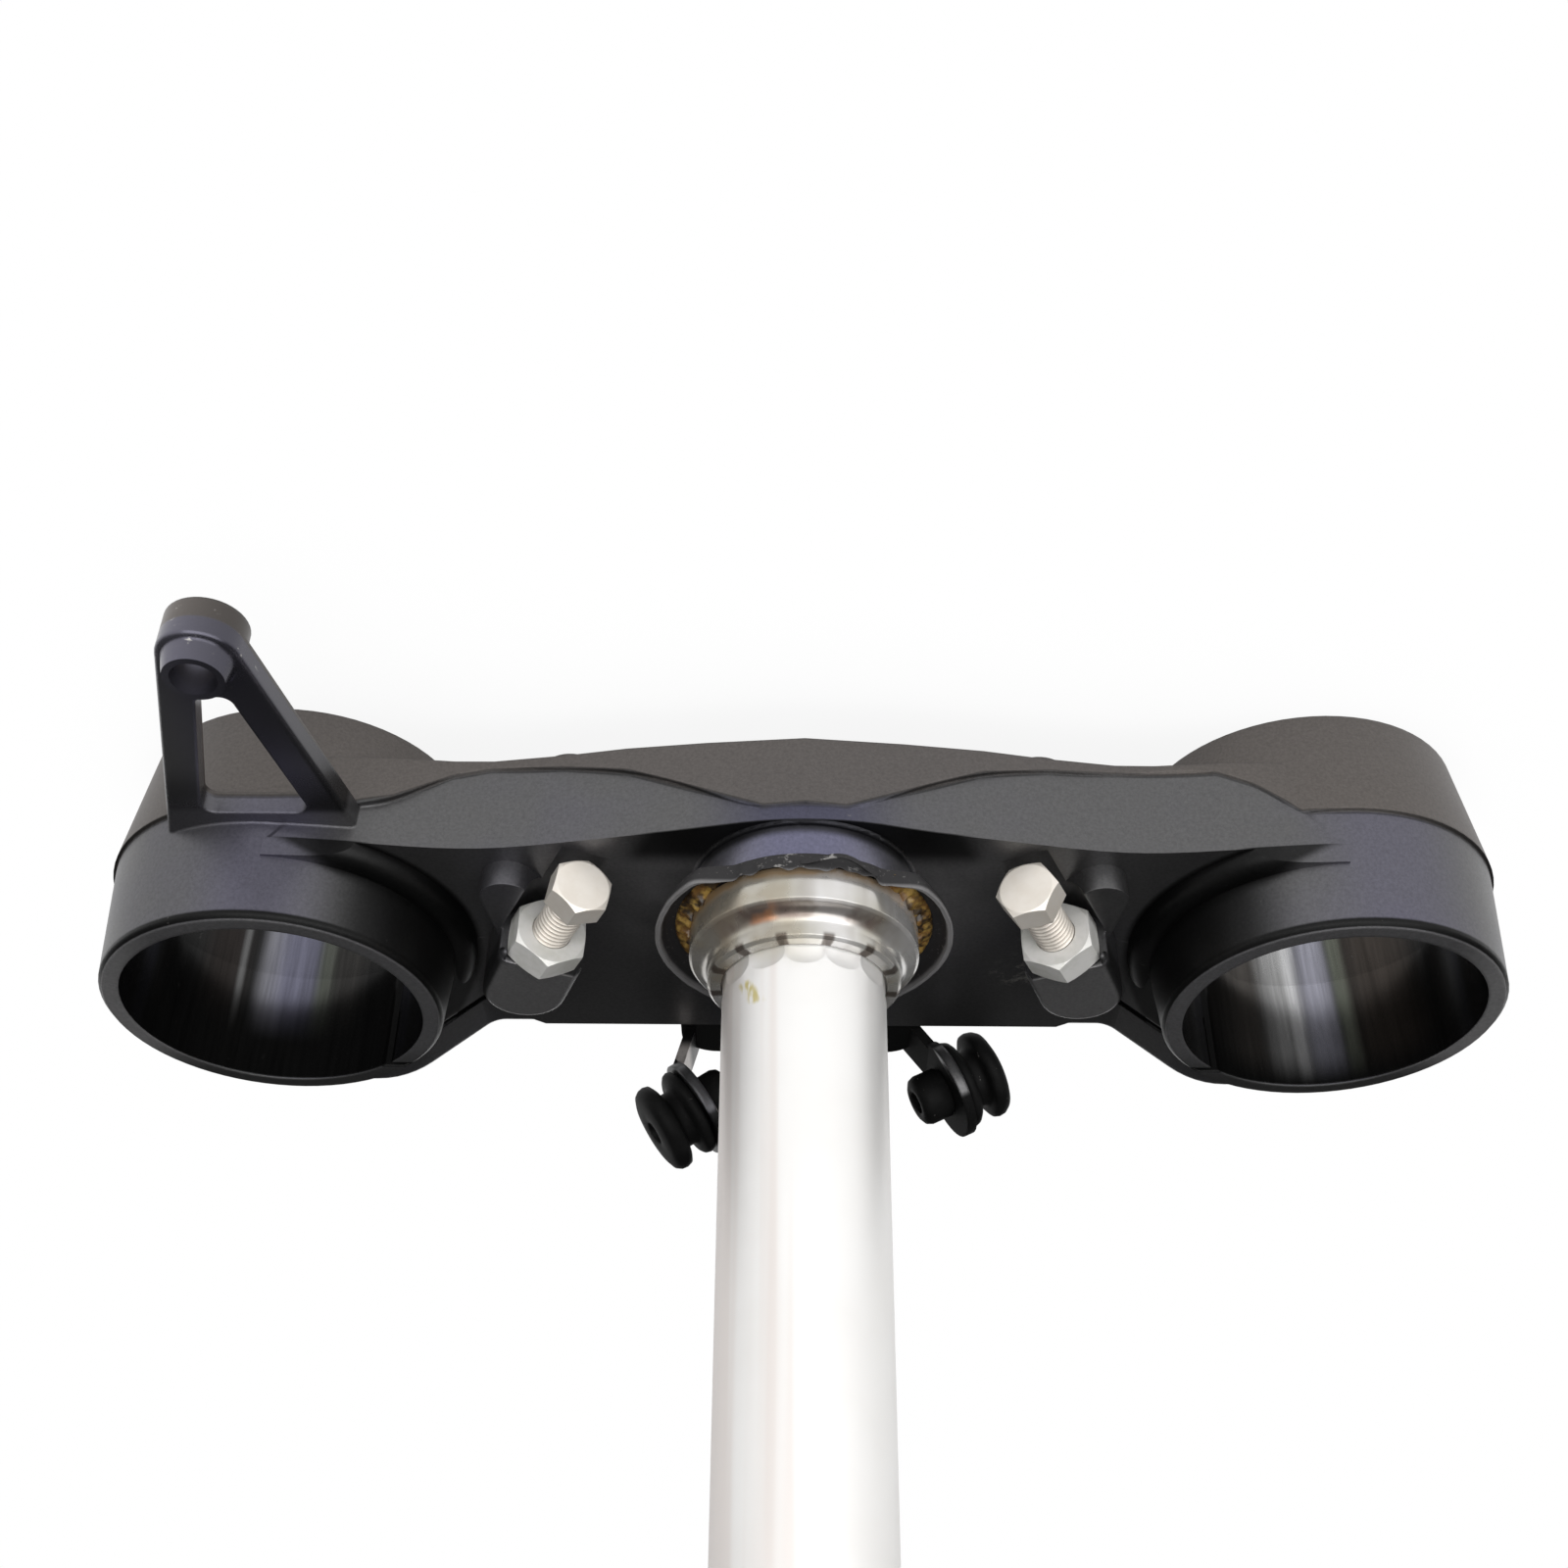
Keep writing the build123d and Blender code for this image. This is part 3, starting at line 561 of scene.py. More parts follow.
def ring_marks(at, look, skin):
    """Painted shade in the corners between the rings and the web and on the web at their rear, painted
    shade on the chamfers, grey mouths with a painted highlight on their outer sides and painted shade
    towards the front, and the bores.
    """
    above_web = at.ring.fade(41.0, 39.0) * at.on_web
    # Painted shade in the inner corners between the rings and the web.
    inner = above_web * at.across.fade(96.0, 84.0) * at.y.fade(46.0, 40.0)
    skin = (inner * 0.92).tint(skin, CORNER_SHADE)
    # Painted shadow on the web at the rear of each ring, tapering away from it.
    wedge = at.across.fade(106.0, 88.0) * 6.5 - at.z + WEB_TOP - 0.4
    wedge = above_web * wedge.fade(-0.5, 2.0) * at.y.fade(18.0, 8.0)
    skin = (wedge * 0.9).tint(skin, CORNER_SHADE)
    # Painted shade on the chamfer round each mouth.
    chamfer = at.inside_mouth * at.ring.fade(BORE_RADIUS + 1.0, BORE_RADIUS + 2.0)
    chamfer = chamfer * at.z.fade(RING_TOP - 2.1, RING_TOP - 1.5)
    skin = chamfer.tint(skin, DEEP_SHADE)
    # The rim grey takes a painted highlight on the outer side and painted shade towards the front.
    lit_rim = at.across.fade(122.0, 138.0).tint(look.rim_grey, RIM_HIGHLIGHT)
    lit_rim = at.y.fade(32.0, 48.0).tint(lit_rim, RIM_SHADE)
    skin = at.mouth.tint(skin, lit_rim)
    return at.bore.tint(skin, bore_wall(at, look))


def post_marks(at, skin):
    """Worn grey tops of the stop posts, with painted shade on their rounded edges, and dark flecks."""
    top = at.post * at.z.fade(POST_TOP - 0.8, POST_TOP - 0.05)
    skin = top.tint(skin, POST_GREY)
    # Painted shade on the rounded edges of the posts, so that they catch less light.
    edge = at.post * at.z.fade(POST_TOP - 0.05, POST_TOP - 0.6)
    skin = (1.0 - edge * 0.55).shade(skin)
    return (at.post * at.dust).tint(skin, DIRT_AND_SHADE_BLACK)


def boss_marks(at, skin):
    """A hazy web round the steering axis, with a painted shadow round the foot of the bearing boss and a
    lighter side of the boss.
    """
    haze = at.around.fade(48.0, 24.0) * at.y.fade(-16.0, -5.0) * at.film.fade(0.3, 0.6)
    haze = haze * at.z.fade(WEB_TOP - 0.5, WEB_TOP - 0.2) * at.z.fade(WEB_TOP + 0.7, WEB_TOP + 0.2)
    skin = (haze * 0.8).tint(skin, HAZE_GREY)
    # Painted shadow round the foot of the bearing boss, on the side towards the rear.
    foot = at.around.fade(38.0, 33.0) * at.y.fade(-6.0, -12.0)
    foot = foot * at.on_web * at.z.fade(WEB_TOP + 3.3, WEB_TOP + 1.3)
    skin = (foot * 0.9).tint(skin, DEEP_SHADE)
    boss = at.around.fade(30.0, 29.0) * at.z.fade(WEB_TOP + 0.3, WEB_TOP + 1.5)
    return (1.0 + boss).shade(skin)


def bracket_marks(at, skin):
    """Light across the hose bracket, a shaded foot, dust elsewhere, and scratches round the eye."""
    skin = (1.0 + at.bracket * at.x.fade(97.0, 117.0, -0.4, 0.6)).shade(skin)
    skin = (1.0 - at.bracket * at.y.fade(-34.0, -24.0) * 0.5).shade(skin)
    dusty = at.dust * at.film.fade(0.4, 0.6) * (1.0 - at.bracket)
    skin = (dusty * 0.35).tint(skin, DUST_GREY)
    eye = hypotenuse(at.x - HOSE_EYE[0], at.y - HOSE_EYE[1])
    scratched = eye.fade(5.5, 6.5) * eye.fade(11.0, 9.0)
    scratched = scratched * at.place.spots(330.0, 4.0, 0.7, (1.0, 1.0, 2.0)).fade(0.63, 0.7)
    return (scratched * 0.75).tint(skin, SCRATCH_PALE)


def front_marks(at, skin):
    """Lint on the web, painted shade in the slots and over the front, and a painted reflection on the inner
    face of the right lug.
    """
    lint = hypotenuse(at.x - LINT_PLACE[0], at.y - LINT_PLACE[1]).fade(9.0, 1.0)
    lint = lint * at.place.spots(240.0, 6.0, 0.75).fade(0.5, 0.66) * at.z.fade(WEB_TOP - 0.3, WEB_TOP)
    skin = (lint * 0.7).tint(skin, LINT_PALE)
    # Painted shade in the pinch slots and over the front faces, which turn away from the light.
    slot = abs(at.y - SLOT_Y).fade(1.3, 0.9) * at.across.fade(91.0, 90.0) * at.across.fade(62.0, 63.0)
    skin = (at.front + slot).capped().tint(skin, DEEP_SHADE)
    # Painted reflection: the inner face of the right lug is made pale as if it mirrored the bright stem.
    lug_x, _, lug_z = LUG_CENTRES["right"]
    tilt = LUG_TILTS["right"]
    outward = (at.x - lug_x) * cos(tilt) + (at.z - lug_z) * sin(tilt)
    pale = outward.fade(-0.8, -1.2) * at.front * at.x.fade(0.0, 5.0) * at.z.fade(-7.0, -4.0)
    return pale.tint(skin, LUG_REFLECTION)


def black_forging(look):
    """Satin black of the forging, worn and dusty, with its milled and forged faces."""
    material, shader, place = new_finish("anodised_forging")
    at = ForgingPlaces(place)
    skin = clean_forging(at, look)
    skin = ring_marks(at, look, skin)
    skin = post_marks(at, skin)
    skin = boss_marks(at, skin)
    skin = bracket_marks(at, skin)
    skin = front_marks(at, skin)
    # Painted shade in a thin line along the step between the milled band and the forged skin.
    groove = abs(at.step - at.z).fade(0.7, 0.3) * at.y.fade(40.0, 25.0)
    groove = groove * (1.0 - at.bracket) * (1.0 - at.bore)
    skin = (groove * 0.6).tint(skin, DIRT_AND_SHADE_BLACK)
    quiet = (at.bracket + at.bore).capped()
    sand = place.spots(1500.0, 3.0, 0.7)
    skin = (1.0 + (sand - 0.5) * (0.7 - quiet * 0.6)).shade(skin)

    grain = place.spots(2600.0, 3.0, 0.6)
    coarse = place.spots(900.0, 4.0, 0.6)
    rough = look.milled_roughness + at.forged * (look.forged_roughness - look.milled_roughness)
    rough = rough + (grain - 0.5) * (0.2 - quiet * 0.18) + (at.film - 0.5) * 0.16
    rough = rough - at.bore * 0.24 + at.mouth * 0.12 - at.bracket * 0.14
    rough = rough + at.front * at.x.fade(5.0, 0.0) * 0.4
    height = (grain * 0.6 + coarse * at.forged * 1.2) * (1.0 - quiet * 0.8)
    milled_foot = at.z.fade(WEB_TOP - 1.8, WEB_TOP - 1.3) * at.z.fade(WEB_TOP + 5.9, WEB_TOP + 5.1)
    crisp = (milled_foot + at.post).capped()
    connect(shader, Base_Color=skin, Roughness=rough, Metallic=0.85,
            Normal=bumped(height, 0.25, 0.06 * MM, look.edge_round, crisp))
    return material


def turned_aluminium(look):
    """Bright turned stem with drawn marks, a stained foot and a stroke of yellow paint."""
    material, shader, place = new_finish("turned_aluminium")
    x, y, z = place.millimetres()
    lathe_marks = place.spots(60.0, 2.0, 0.6, (0.4, 0.4, 60.0))
    brush = place.spots(120.0, 3.0, 0.6, (10.0, 10.0, 0.3))
    cloud = place.spots(40.0, 3.0)
    drawn = place.spots(90.0, 3.0, 0.6, (1.0, 1.0, 0.02))
    low = z.fade(23.0, 15.0)
    skin = cloud.fade(0.35, 0.7).tint(look.stem_aluminium, STEM_CLOUD)
    skin = drawn.fade(0.5, 0.62).tint(skin, STEM_DRAWN)
    stain = (low * cloud.fade(0.42, 0.62)).capped()
    skin = (stain * 0.6).tint(skin, STEM_STAIN)
    turn = y.math("ARCTAN2", y, x)
    above = z - STROKE_HEIGHT
    stroke = abs(turn - STROKE_TURN + above * 0.04).fade(0.14, 0.05) * abs(above).fade(3.2, 2.0)
    stroke = stroke * place.spots(420.0, 3.0, 0.6, (1.0, 1.0, 0.3)).fade(0.46, 0.6)
    skin = (stroke * 0.8).tint(skin, STROKE_YELLOW)
    rough = 0.4 + (brush - 0.5) * 0.12 + lathe_marks * 0.08
    connect(shader, Base_Color=skin, Roughness=rough, Metallic=0.5 + low * 0.1,
            Normal=bumped(lathe_marks, 0.06, 0.03 * MM, 0.3 * MM))
    return material


def ground_steel(look):
    """Ground race with a stained foot, painted shade in the groove at the rear, a rust mark and dark
    notches.
    """
    material, shader, place = new_finish("ground_race_steel")
    x, y, z = place.millimetres()
    turn = y.math("ARCTAN2", y, x)
    cloud = place.spots(150.0, 4.0, 0.6)
    patch = place.spots(60.0, 3.0)
    skin = patch.fade(0.35, 0.65).tint(look.race_steel, RACE_PATCH)
    bands = place.spots(75.0, 3.0, 0.6, (1.0, 1.0, 0.06)).fade(0.42, 0.6)
    skin = (bands * 0.6).tint(skin, RACE_BAND)
    foot = z.fade(5.2, 2.6)
    stain = (foot * (0.6 + cloud.fade(0.3, 0.7)) + patch.fade(0.52, 0.7) * 0.4).capped()
    skin = (stain * 0.8).tint(skin, look.stain_brown)
    groove = abs(z - RACE_GROOVE).fade(1.6, 0.6)
    # Painted shade, mottled, in the groove on the rear of the race.
    shade_mottle = place.spots(120.0, 3.0, 0.6, (1.0, 1.0, 0.2)).fade(0.4, 0.6, 0.45, 0.9)
    rear = abs(turn + pi / 2).fade(radians(70.0), radians(35.0))
    skin = (groove * shade_mottle * rear).tint(skin, RACE_GROOVE_SHADE)
    rust = groove * abs(turn - RUST_TURN).fade(0.2, 0.06) * cloud.fade(0.4, 0.55)
    skin = (rust * 0.55).tint(skin, look.stain_orange)
    notch = turn.math("COSINE", turn * RACE_NOTCHES + (RACE_NOTCHES / 2 + 1.0) * pi).fade(0.55, 0.9)
    notch = notch * z.fade(13.4, 14.6)
    skin = (notch * 0.85).tint(skin, NOTCH_BROWN)
    rough = 0.22 + stain * 0.3 + (cloud - 0.5) * 0.16
    connect(shader, Base_Color=skin, Roughness=rough, Metallic=0.72 - stain * 0.35,
            Normal=bumped(cloud, 0.15, 0.08 * MM, 0.3 * MM))
    return material


def plated(name, base, patch, roughness, metallic=1.0):
    """Plated steel with dull patches, fine handling marks, and a grimy brown, partly painted shade, where a
    piece marks its thread roots.
    """
    material, shader, place = new_finish(name)
    cloud = place.spots(180.0, 4.0, 0.6)
    fine = place.spots(1500.0, 3.0)
    grime = place.node("ShaderNodeAttribute", {"attribute_name": ROOT_DIRT_AND_SHADE}, {}, "Fac")
    skin = cloud.fade(0.35, 0.75).tint(base, patch)
    # Grimy brown that is partly painted shade, in the marked thread roots.
    skin = (grime * 0.85).tint(skin, THREAD_DIRT_AND_SHADE)
    rough = roughness + (cloud - 0.5) * 0.16 + (fine - 0.5) * 0.08
    connect(shader, Base_Color=skin, Roughness=rough, Metallic=metallic,
            Normal=bumped(cloud + fine * 0.4, 0.12, 0.06 * MM, 0.15 * MM))
    return material


def seal_rubber(look):
    """Worn rubber with a dusty lip, and glints where the rear is torn."""
    material, shader, place = new_finish("seal_rubber")
    _, y, z = place.millimetres()
    cloud = place.spots(200.0, 4.0, 0.6)
    fine = place.spots(1400.0, 3.0)
    lip = z.fade(3.2, 4.2) * (0.6 + 0.4 * cloud)
    skin = lip.tint(look.seal_grey, look.seal_edge)
    glint = place.spots(330.0, 4.0, 0.7, (1.0, 1.0, 2.0)).fade(0.58, 0.66) * y.fade(-21.0, -24.0)
    skin = (glint * 0.6).tint(skin, SEAL_GLINT)
    skin = (fine.fade(0.62, 0.75) * 0.3).tint(skin, SEAL_DUST)
    connect(shader, Base_Color=skin, Roughness=0.5 + cloud * 0.2, Specular_IOR_Level=0.3,
            Normal=bumped(cloud + fine * 0.5, 0.3, 0.1 * MM))
    return material


def grommet_rubber(look):
    """Dull black rubber with pale flecks."""
    material, shader, place = new_finish("grommet_rubber")
    cloud = place.spots(160.0, 4.0, 0.6)
    fine = place.spots(1200.0, 3.0)
    fleck = place.spots(520.0, 4.0, 0.7).fade(0.67, 0.73)
    skin = cloud.fade(0.35, 0.7).tint(look.grommet_black, GROMMET_PATCH)
    skin = (fleck * 0.6).tint(skin, GROMMET_FLECK)
    connect(shader, Base_Color=skin, Roughness=0.5 + cloud * 0.2, Specular_IOR_Level=0.1,
            Normal=bumped(cloud + fine * 0.4, 0.2, 0.1 * MM))
    return material


def old_grease(look):
    """Wet golden grease that has gone brown and black in places."""
    material, shader, place = new_finish("old_grease")
    cloud = place.spots(420.0, 4.0, 0.6)
    dark = place.spots(230.0, 4.0, 0.6)
    skin = cloud.fade(0.4, 0.62).tint(GREASE_BROWN, look.grease_gold)
    skin = dark.fade(0.46, 0.58).tint(skin, GREASE_BLACK)
    connect(shader, Base_Color=skin, Roughness=0.2 + cloud * 0.2,
            Normal=bumped(cloud, 0.5, 0.4 * MM))
    return material


def paint_node(name, material):
    """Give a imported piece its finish."""
    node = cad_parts[name]
    node.material_slots[0].material = material


def new_object(name, shape, material):
    """Make a mesh object of a bmesh, in place, with its finish."""
    mesh = bpy.data.meshes.new(name)
    shape.to_mesh(mesh)
    shape.free()
    mesh.materials.append(material)
    made = bpy.data.objects.new(name, mesh)
    bpy.context.scene.collection.objects.link(made)
    return made


def new_piece(name, shape, material, replaced=()):
    """Make a piece of a bmesh, and let it ride on the part."""
    piece = new_object(name, shape, material)
    for node in replaced:
        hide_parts(node)
    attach(piece, "root")


def lathe(shape, points, steps):
    """Turn a profile of (radius, height) points about Z into a closed ring or solid."""
    ring = [shape.verts.new((radius, 0.0, height)) for radius, height in points]
    edges = [shape.edges.new(pair) for pair in zip(ring, ring[1:])]
    bmesh.ops.spin(shape, geom=ring + edges, cent=(0, 0, 0), axis=(0, 0, 1), angle=FULL_TURN,
                   steps=steps, use_merge=True)
    bmesh.ops.remove_doubles(shape, verts=shape.verts[:], dist=1e-6)
    bmesh.ops.recalc_face_normals(shape, faces=shape.faces[:])


def sweep_about_stem(shape, profile, start, sweep, steps):
    """Sweep a closed profile of (radius, height) points, in millimetres, about the stem."""
    corners = [shape.verts.new((radius * MM * cos(start), radius * MM * sin(start), height * MM))
               for radius, height in profile]
    face = shape.faces.new(corners)
    bmesh.ops.spin(shape, geom=[face] + face.verts[:] + face.edges[:], cent=(0, 0, 0),
                   axis=(0, 0, 1), angle=sweep, steps=steps)


def polar(point):
    """Radius and turn of a point about Z."""
    return (point.x ** 2 + point.y ** 2) ** 0.5, atan2(point.y, point.x)


def face_outwards(shape, faces, volume):
    """Turn the faces of a closed shell outwards, so that it adds to the volume of the rest."""
    bmesh.ops.recalc_face_normals(shape, faces=faces)
    if shape.calc_volume(signed=True) < volume:
        bmesh.ops.reverse_faces(shape, faces=faces)


def ripple(turn, waves, level=0.0):
    """Waves at this turn about the stem, added to a level."""
    return sum((share * sin(turn * count + phase) for count, phase, share in waves), level)


def stand(shape, seat, along, upright):
    """Carry a shape to its seat in millimetres, with its Z along one direction and its Y along another."""
    along, upright = Vector(along), Vector(upright)
    place = Matrix((upright.cross(along), upright, along)).transposed().to_4x4()
    place.translation = Vector(seat) * MM
    bmesh.ops.transform(shape, matrix=place, verts=shape.verts[:])


def smooth(shape, limit):
    """Smooth faces, with sharp edges where they turn by more than limit."""
    for face in shape.faces:
        face.smooth = True
    for edge in shape.edges:
        edge.smooth = len(edge.link_faces) == 2 and edge.calc_face_angle() < limit


def settle(shape, limit):
    """Turn the faces of a bent shape outwards and smooth them."""
    bmesh.ops.recalc_face_normals(shape, faces=shape.faces[:])
    smooth(shape, limit)


class CLAMP_OT_forging(Operator):
    """Finish the black forging."""

    bl_idname = "clamp.forging"
    bl_label = "Forging"

    def execute(self, context):
        paint_node("lower_clamp", black_forging(context.scene.clamp_finish))
        return {"FINISHED"}


class CLAMP_OT_stem(Operator):
    """Finish the steering stem."""

    bl_idname = "clamp.stem"
    bl_label = "Steering stem"

    def execute(self, context):
        paint_node("steering_stem", turned_aluminium(context.scene.metal_finish))
        return {"FINISHED"}


class CLAMP_OT_race(Operator):
    """Finish the lower bearing's inner race."""

    bl_idname = "clamp.race"
    bl_label = "Bearing race"

    def execute(self, context):
        paint_node("lower_bearing_race", ground_steel(context.scene.metal_finish))
        return {"FINISHED"}


class CLAMP_OT_seal(Operator):
    """Model the dust seal with its wrinkled lip, and the strip torn from it."""

    bl_idname = "clamp.seal"
    bl_label = "Dust seal"

    def execute(self, context):
        sizes = context.scene.seal_sizes
        rubber = seal_rubber(context.scene.rubber_finish)
        shape = bmesh.new()
        turn_seal(shape, sizes)
        new_piece("wrinkled_dust_seal", shape, rubber, ("dust_seal",))
        strip = bmesh.new()
        tear_strip(strip, sizes)
        new_piece("torn_seal_strip", strip, rubber)
        return {"FINISHED"}


def turn_seal(shape, sizes):
    """A thin disc with an upturned lip, whose rear is squeezed in."""
    rim, bore, top = sizes.rim, sizes.bore, sizes.lip_height
    lathe(shape, ((bore, 0.0), (rim - 4.0 * MM, 0.0), (rim - 1.6 * MM, 0.2 * MM),
                  (rim - 0.5 * MM, 2.2 * MM), (rim, top - 0.3 * MM), (rim - 0.3 * MM, top),
                  (rim - 1.0 * MM, top - 0.1 * MM), (rim - 1.7 * MM, 2.4 * MM),
                  (rim - 2.9 * MM, 1.5 * MM), (bore, 1.5 * MM), (bore, 0.0)), SEAL_STEPS)
    for point in shape.verts:
        squeeze_lip(point.co, sizes)
    settle(shape, RUBBER_CREASE)


def pulled_in(turn):
    """How far the lip is squeezed at this turn about the stem: fully at the rear, not at the sides."""
    away = abs(turn - SEAL_TORN_TURN)
    ease = min(max((SEAL_TORN_HALF - away) / SEAL_TORN_EASE, 0.0), 1.0)
    return ease * ease * (3.0 - 2.0 * ease)


def squeeze_lip(point, sizes):
    """Push the rear of the lip in against the race, and crumple it there."""
    radius, turn = polar(point)
    held = SEAL_HELD_RADIUS * MM
    if radius < held:
        return
    amount = pulled_in(turn)
    crumple = ripple(turn, CRUMPLE_WAVES)
    height = point.z / sizes.lip_height
    slack = held + (radius - held) * (1.0 - 0.76 * amount)
    slack = min(slack + crumple * height * (0.12 + 0.45 * amount) * MM, sizes.rim)
    point.z -= amount * height * (0.9 + 0.5 * crumple) * MM
    point.x, point.y = slack * cos(turn), slack * sin(turn)


def tear_strip(shape, sizes):
    """A sliver of the lip that has come away at the rear and bows out."""
    profile = [(STRIP_RADIUS + out, height) for out, height in STRIP_PROFILE]
    sweep_about_stem(shape, profile, STRIP_START, STRIP_SWEEP, STRIP_STEPS)
    for point in shape.verts:
        radius, turn = polar(point.co)
        bow = sin(pi * min(max((turn - STRIP_START) / STRIP_SWEEP, 0.0), 1.0)) ** 2
        radius += bow * sizes.strip_bow
        point.co.x, point.co.y = radius * cos(turn), radius * sin(turn)
        point.co.z -= bow * 1.1 * MM
    settle(shape, RUBBER_CREASE)


class CLAMP_OT_grease(Operator):
    """Model the old grease between the seal and the race."""

    bl_idname = "clamp.grease"
    bl_label = "Old grease"

    def execute(self, context):
        grease = old_grease(context.scene.rubber_finish)
        for side, (start, sweep) in GREASE_RUNS.items():
            shape = bmesh.new()
            smear(shape, start, sweep)
            new_piece(f"grease_{side}", shape, grease)
        return {"FINISHED"}


def smear(shape, start, sweep):
    """A lumpy run of grease in the corner between the seal and the race, thin over its end sixths."""
    sweep_about_stem(shape, GREASE_PROFILE, start, sweep, GREASE_STEPS)
    floor = GREASE_FLOOR * MM
    for point in shape.verts:
        turn = atan2(point.co.y, point.co.x)
        along = ((turn - start) % FULL_TURN) / sweep
        end = max(0.0, min(1.0, 6.0 * along, 6.0 * (1.0 - along)))
        lump = ripple(turn, LUMP_WAVES, 0.5)
        point.co.z = floor + (point.co.z - floor) * max(end * lump, 0.05)
    settle(shape, GREASE_CREASE)


class CLAMP_OT_stop_bolts(Operator):
    """Model the steering stop bolts with their cut threads, and finish the lock nuts."""

    bl_idname = "clamp.stop_bolts"
    bl_label = "Stop bolts and lock nuts"

    def execute(self, context):
        sizes = context.scene.stop_bolt_sizes
        look = context.scene.metal_finish
        nickel = plated("warm_nickel", look.bolt_nickel, NICKEL_PATCH, 0.38, 0.45)
        zinc = plated("dull_zinc", look.nut_zinc, ZINC_PATCH, 0.5, 0.3)
        for side, sign in SIDES.items():
            shape = bmesh.new()
            hexagon_head(shape, sizes)
            cut_thread(shape, sizes)
            turned = Matrix.Rotation(STOP_TURNS[side], 3, "Z")
            bmesh.ops.rotate(shape, matrix=turned, verts=shape.verts[:])
            seat = (sign * STOP_SEAT[0], STOP_SEAT[1], STOP_SEAT[2])
            stand(shape, seat, (-sign * sin(STOP_ANGLE), -cos(STOP_ANGLE), 0.0), (0.0, 0.0, 1.0))
            smooth(shape, BOLT_CREASE)
            new_piece(f"threaded_stop_bolt_{side}", shape, nickel, (f"stop_bolt_{side}",))
            paint_node(f"stop_lock_nut_{side}", zinc)
        return {"FINISHED"}


def hexagon_head(shape, sizes):
    """Chamfered hexagon head on +Z, above its bolt's seat at the origin."""
    flat = sizes.head_flats / 2
    corner = flat / cos(pi / 6)
    seat = sizes.head_seat
    top = seat + sizes.head_height
    lathe(shape, ((0.0, seat), (corner, seat), (corner, top - 0.75 * MM), (flat * 0.99, top - 0.1 * MM),
                  (flat * 0.95, top), (0.0, top)), HEAD_STEPS)
    for sixth in range(6):
        turn = (sixth + 0.5) * pi / 3
        out = Vector((cos(turn), sin(turn), 0.0))
        cut = bmesh.ops.bisect_plane(shape, geom=shape.verts[:] + shape.edges[:] + shape.faces[:],
                                     dist=1e-7, plane_co=out * flat, plane_no=out, clear_outer=True)
        edges = [item for item in cut["geom_cut"] if isinstance(item, bmesh.types.BMEdge)]
        bmesh.ops.contextual_create(shape, geom=edges)
    bmesh.ops.recalc_face_normals(shape, faces=shape.faces[:])


def cut_thread(shape, sizes):
    """Thread along +Z that runs into the head, closed at its ends, with its roots marked for a grimy brown
    that is partly painted shade.
    """
    head, head_volume = set(shape.faces), shape.calc_volume(signed=True)
    root, crest, pitch = sizes.thread_root, sizes.thread_crest, sizes.thread_pitch
    start = sizes.head_seat - sizes.turns * pitch + THREAD_OVERLAP * MM
    flute = ((root, 0.0), (root, 0.12 * pitch), (crest, 0.48 * pitch), (crest, 0.64 * pitch), (root, pitch))
    points = [shape.verts.new((radius, 0.0, start + height)) for radius, height in flute]
    edges = [shape.edges.new(pair) for pair in zip(points, points[1:])]
    turns = sizes.turns - 1
    bmesh.ops.spin(shape, geom=points + edges, cent=(0, 0, 0), axis=(0, 0, 1), angle=FULL_TURN * turns,
                   steps=THREAD_STEPS * turns, dvec=(0, 0, pitch / THREAD_STEPS))
    bmesh.ops.remove_doubles(shape, verts=shape.verts[:], dist=2e-6)
    rims = [edge for edge in shape.edges if edge.is_boundary]
    bmesh.ops.holes_fill(shape, edges=rims)
    thread = [face for face in shape.faces if face not in head]
    face_outwards(shape, thread, head_volume)
    root_dirt_and_shade_layer = shape.verts.layers.float.new(ROOT_DIRT_AND_SHADE)
    for point in shape.verts:
        radius, _ = polar(point.co)
        if point.co.z < sizes.head_seat and radius < crest:
            point[root_dirt_and_shade_layer] = min(1.0, (crest - radius) / (crest - root))


class CLAMP_OT_pinch_bolts(Operator):
    """Finish the pinch bolts."""

    bl_idname = "clamp.pinch_bolts"
    bl_label = "Pinch bolts"

    def execute(self, context):
        oxide = plated("black_oxide", context.scene.metal_finish.bolt_black, OXIDE_PATCH, 0.42)
        for side in SIDES:
            for level in ("upper", "lower"):
                paint_node(f"pinch_bolt_{side}_{level}", oxide)
        return {"FINISHED"}


class CLAMP_OT_grommets(Operator):
    """Model the rubber grommets in the front lugs."""

    bl_idname = "clamp.grommets"
    bl_label = "Grommets"

    def execute(self, context):
        rubber = grommet_rubber(context.scene.rubber_finish)
        for side, sign in SIDES.items():
            shape = bmesh.new()
            profile = [(radius * MM, height * MM) for radius, height in GROMMET_PROFILE]
            lathe(shape, profile, GROMMET_STEPS)
            for point in shape.verts:
                sag_rim(point.co)
            tilt = LUG_TILTS[side]
            stand(shape, LUG_CENTRES[side], (sign * cos(tilt), 0.0, sign * sin(tilt)), (0.0, 1.0, 0.0))
            smooth(shape, RUBBER_CREASE)
            new_piece(f"moulded_grommet_{side}", shape, rubber, (f"grommet_{side}",))
        return {"FINISHED"}


def sag_rim(point):
    """Make the grommet's rims a little uneven, as old rubber is."""
    radius, turn = polar(point)
    beyond = radius / MM - GROMMET_SOFT_RADIUS
    if beyond < 0.0:
        return
    worn = 0.5 + 0.3 * sin(3.0 * turn + point.z * 260.0) + 0.2 * sin(7.0 * turn + 1.3)
    scale = 1.0 - 0.035 * worn * beyond / 3.0
    point.x *= scale
    point.y *= scale


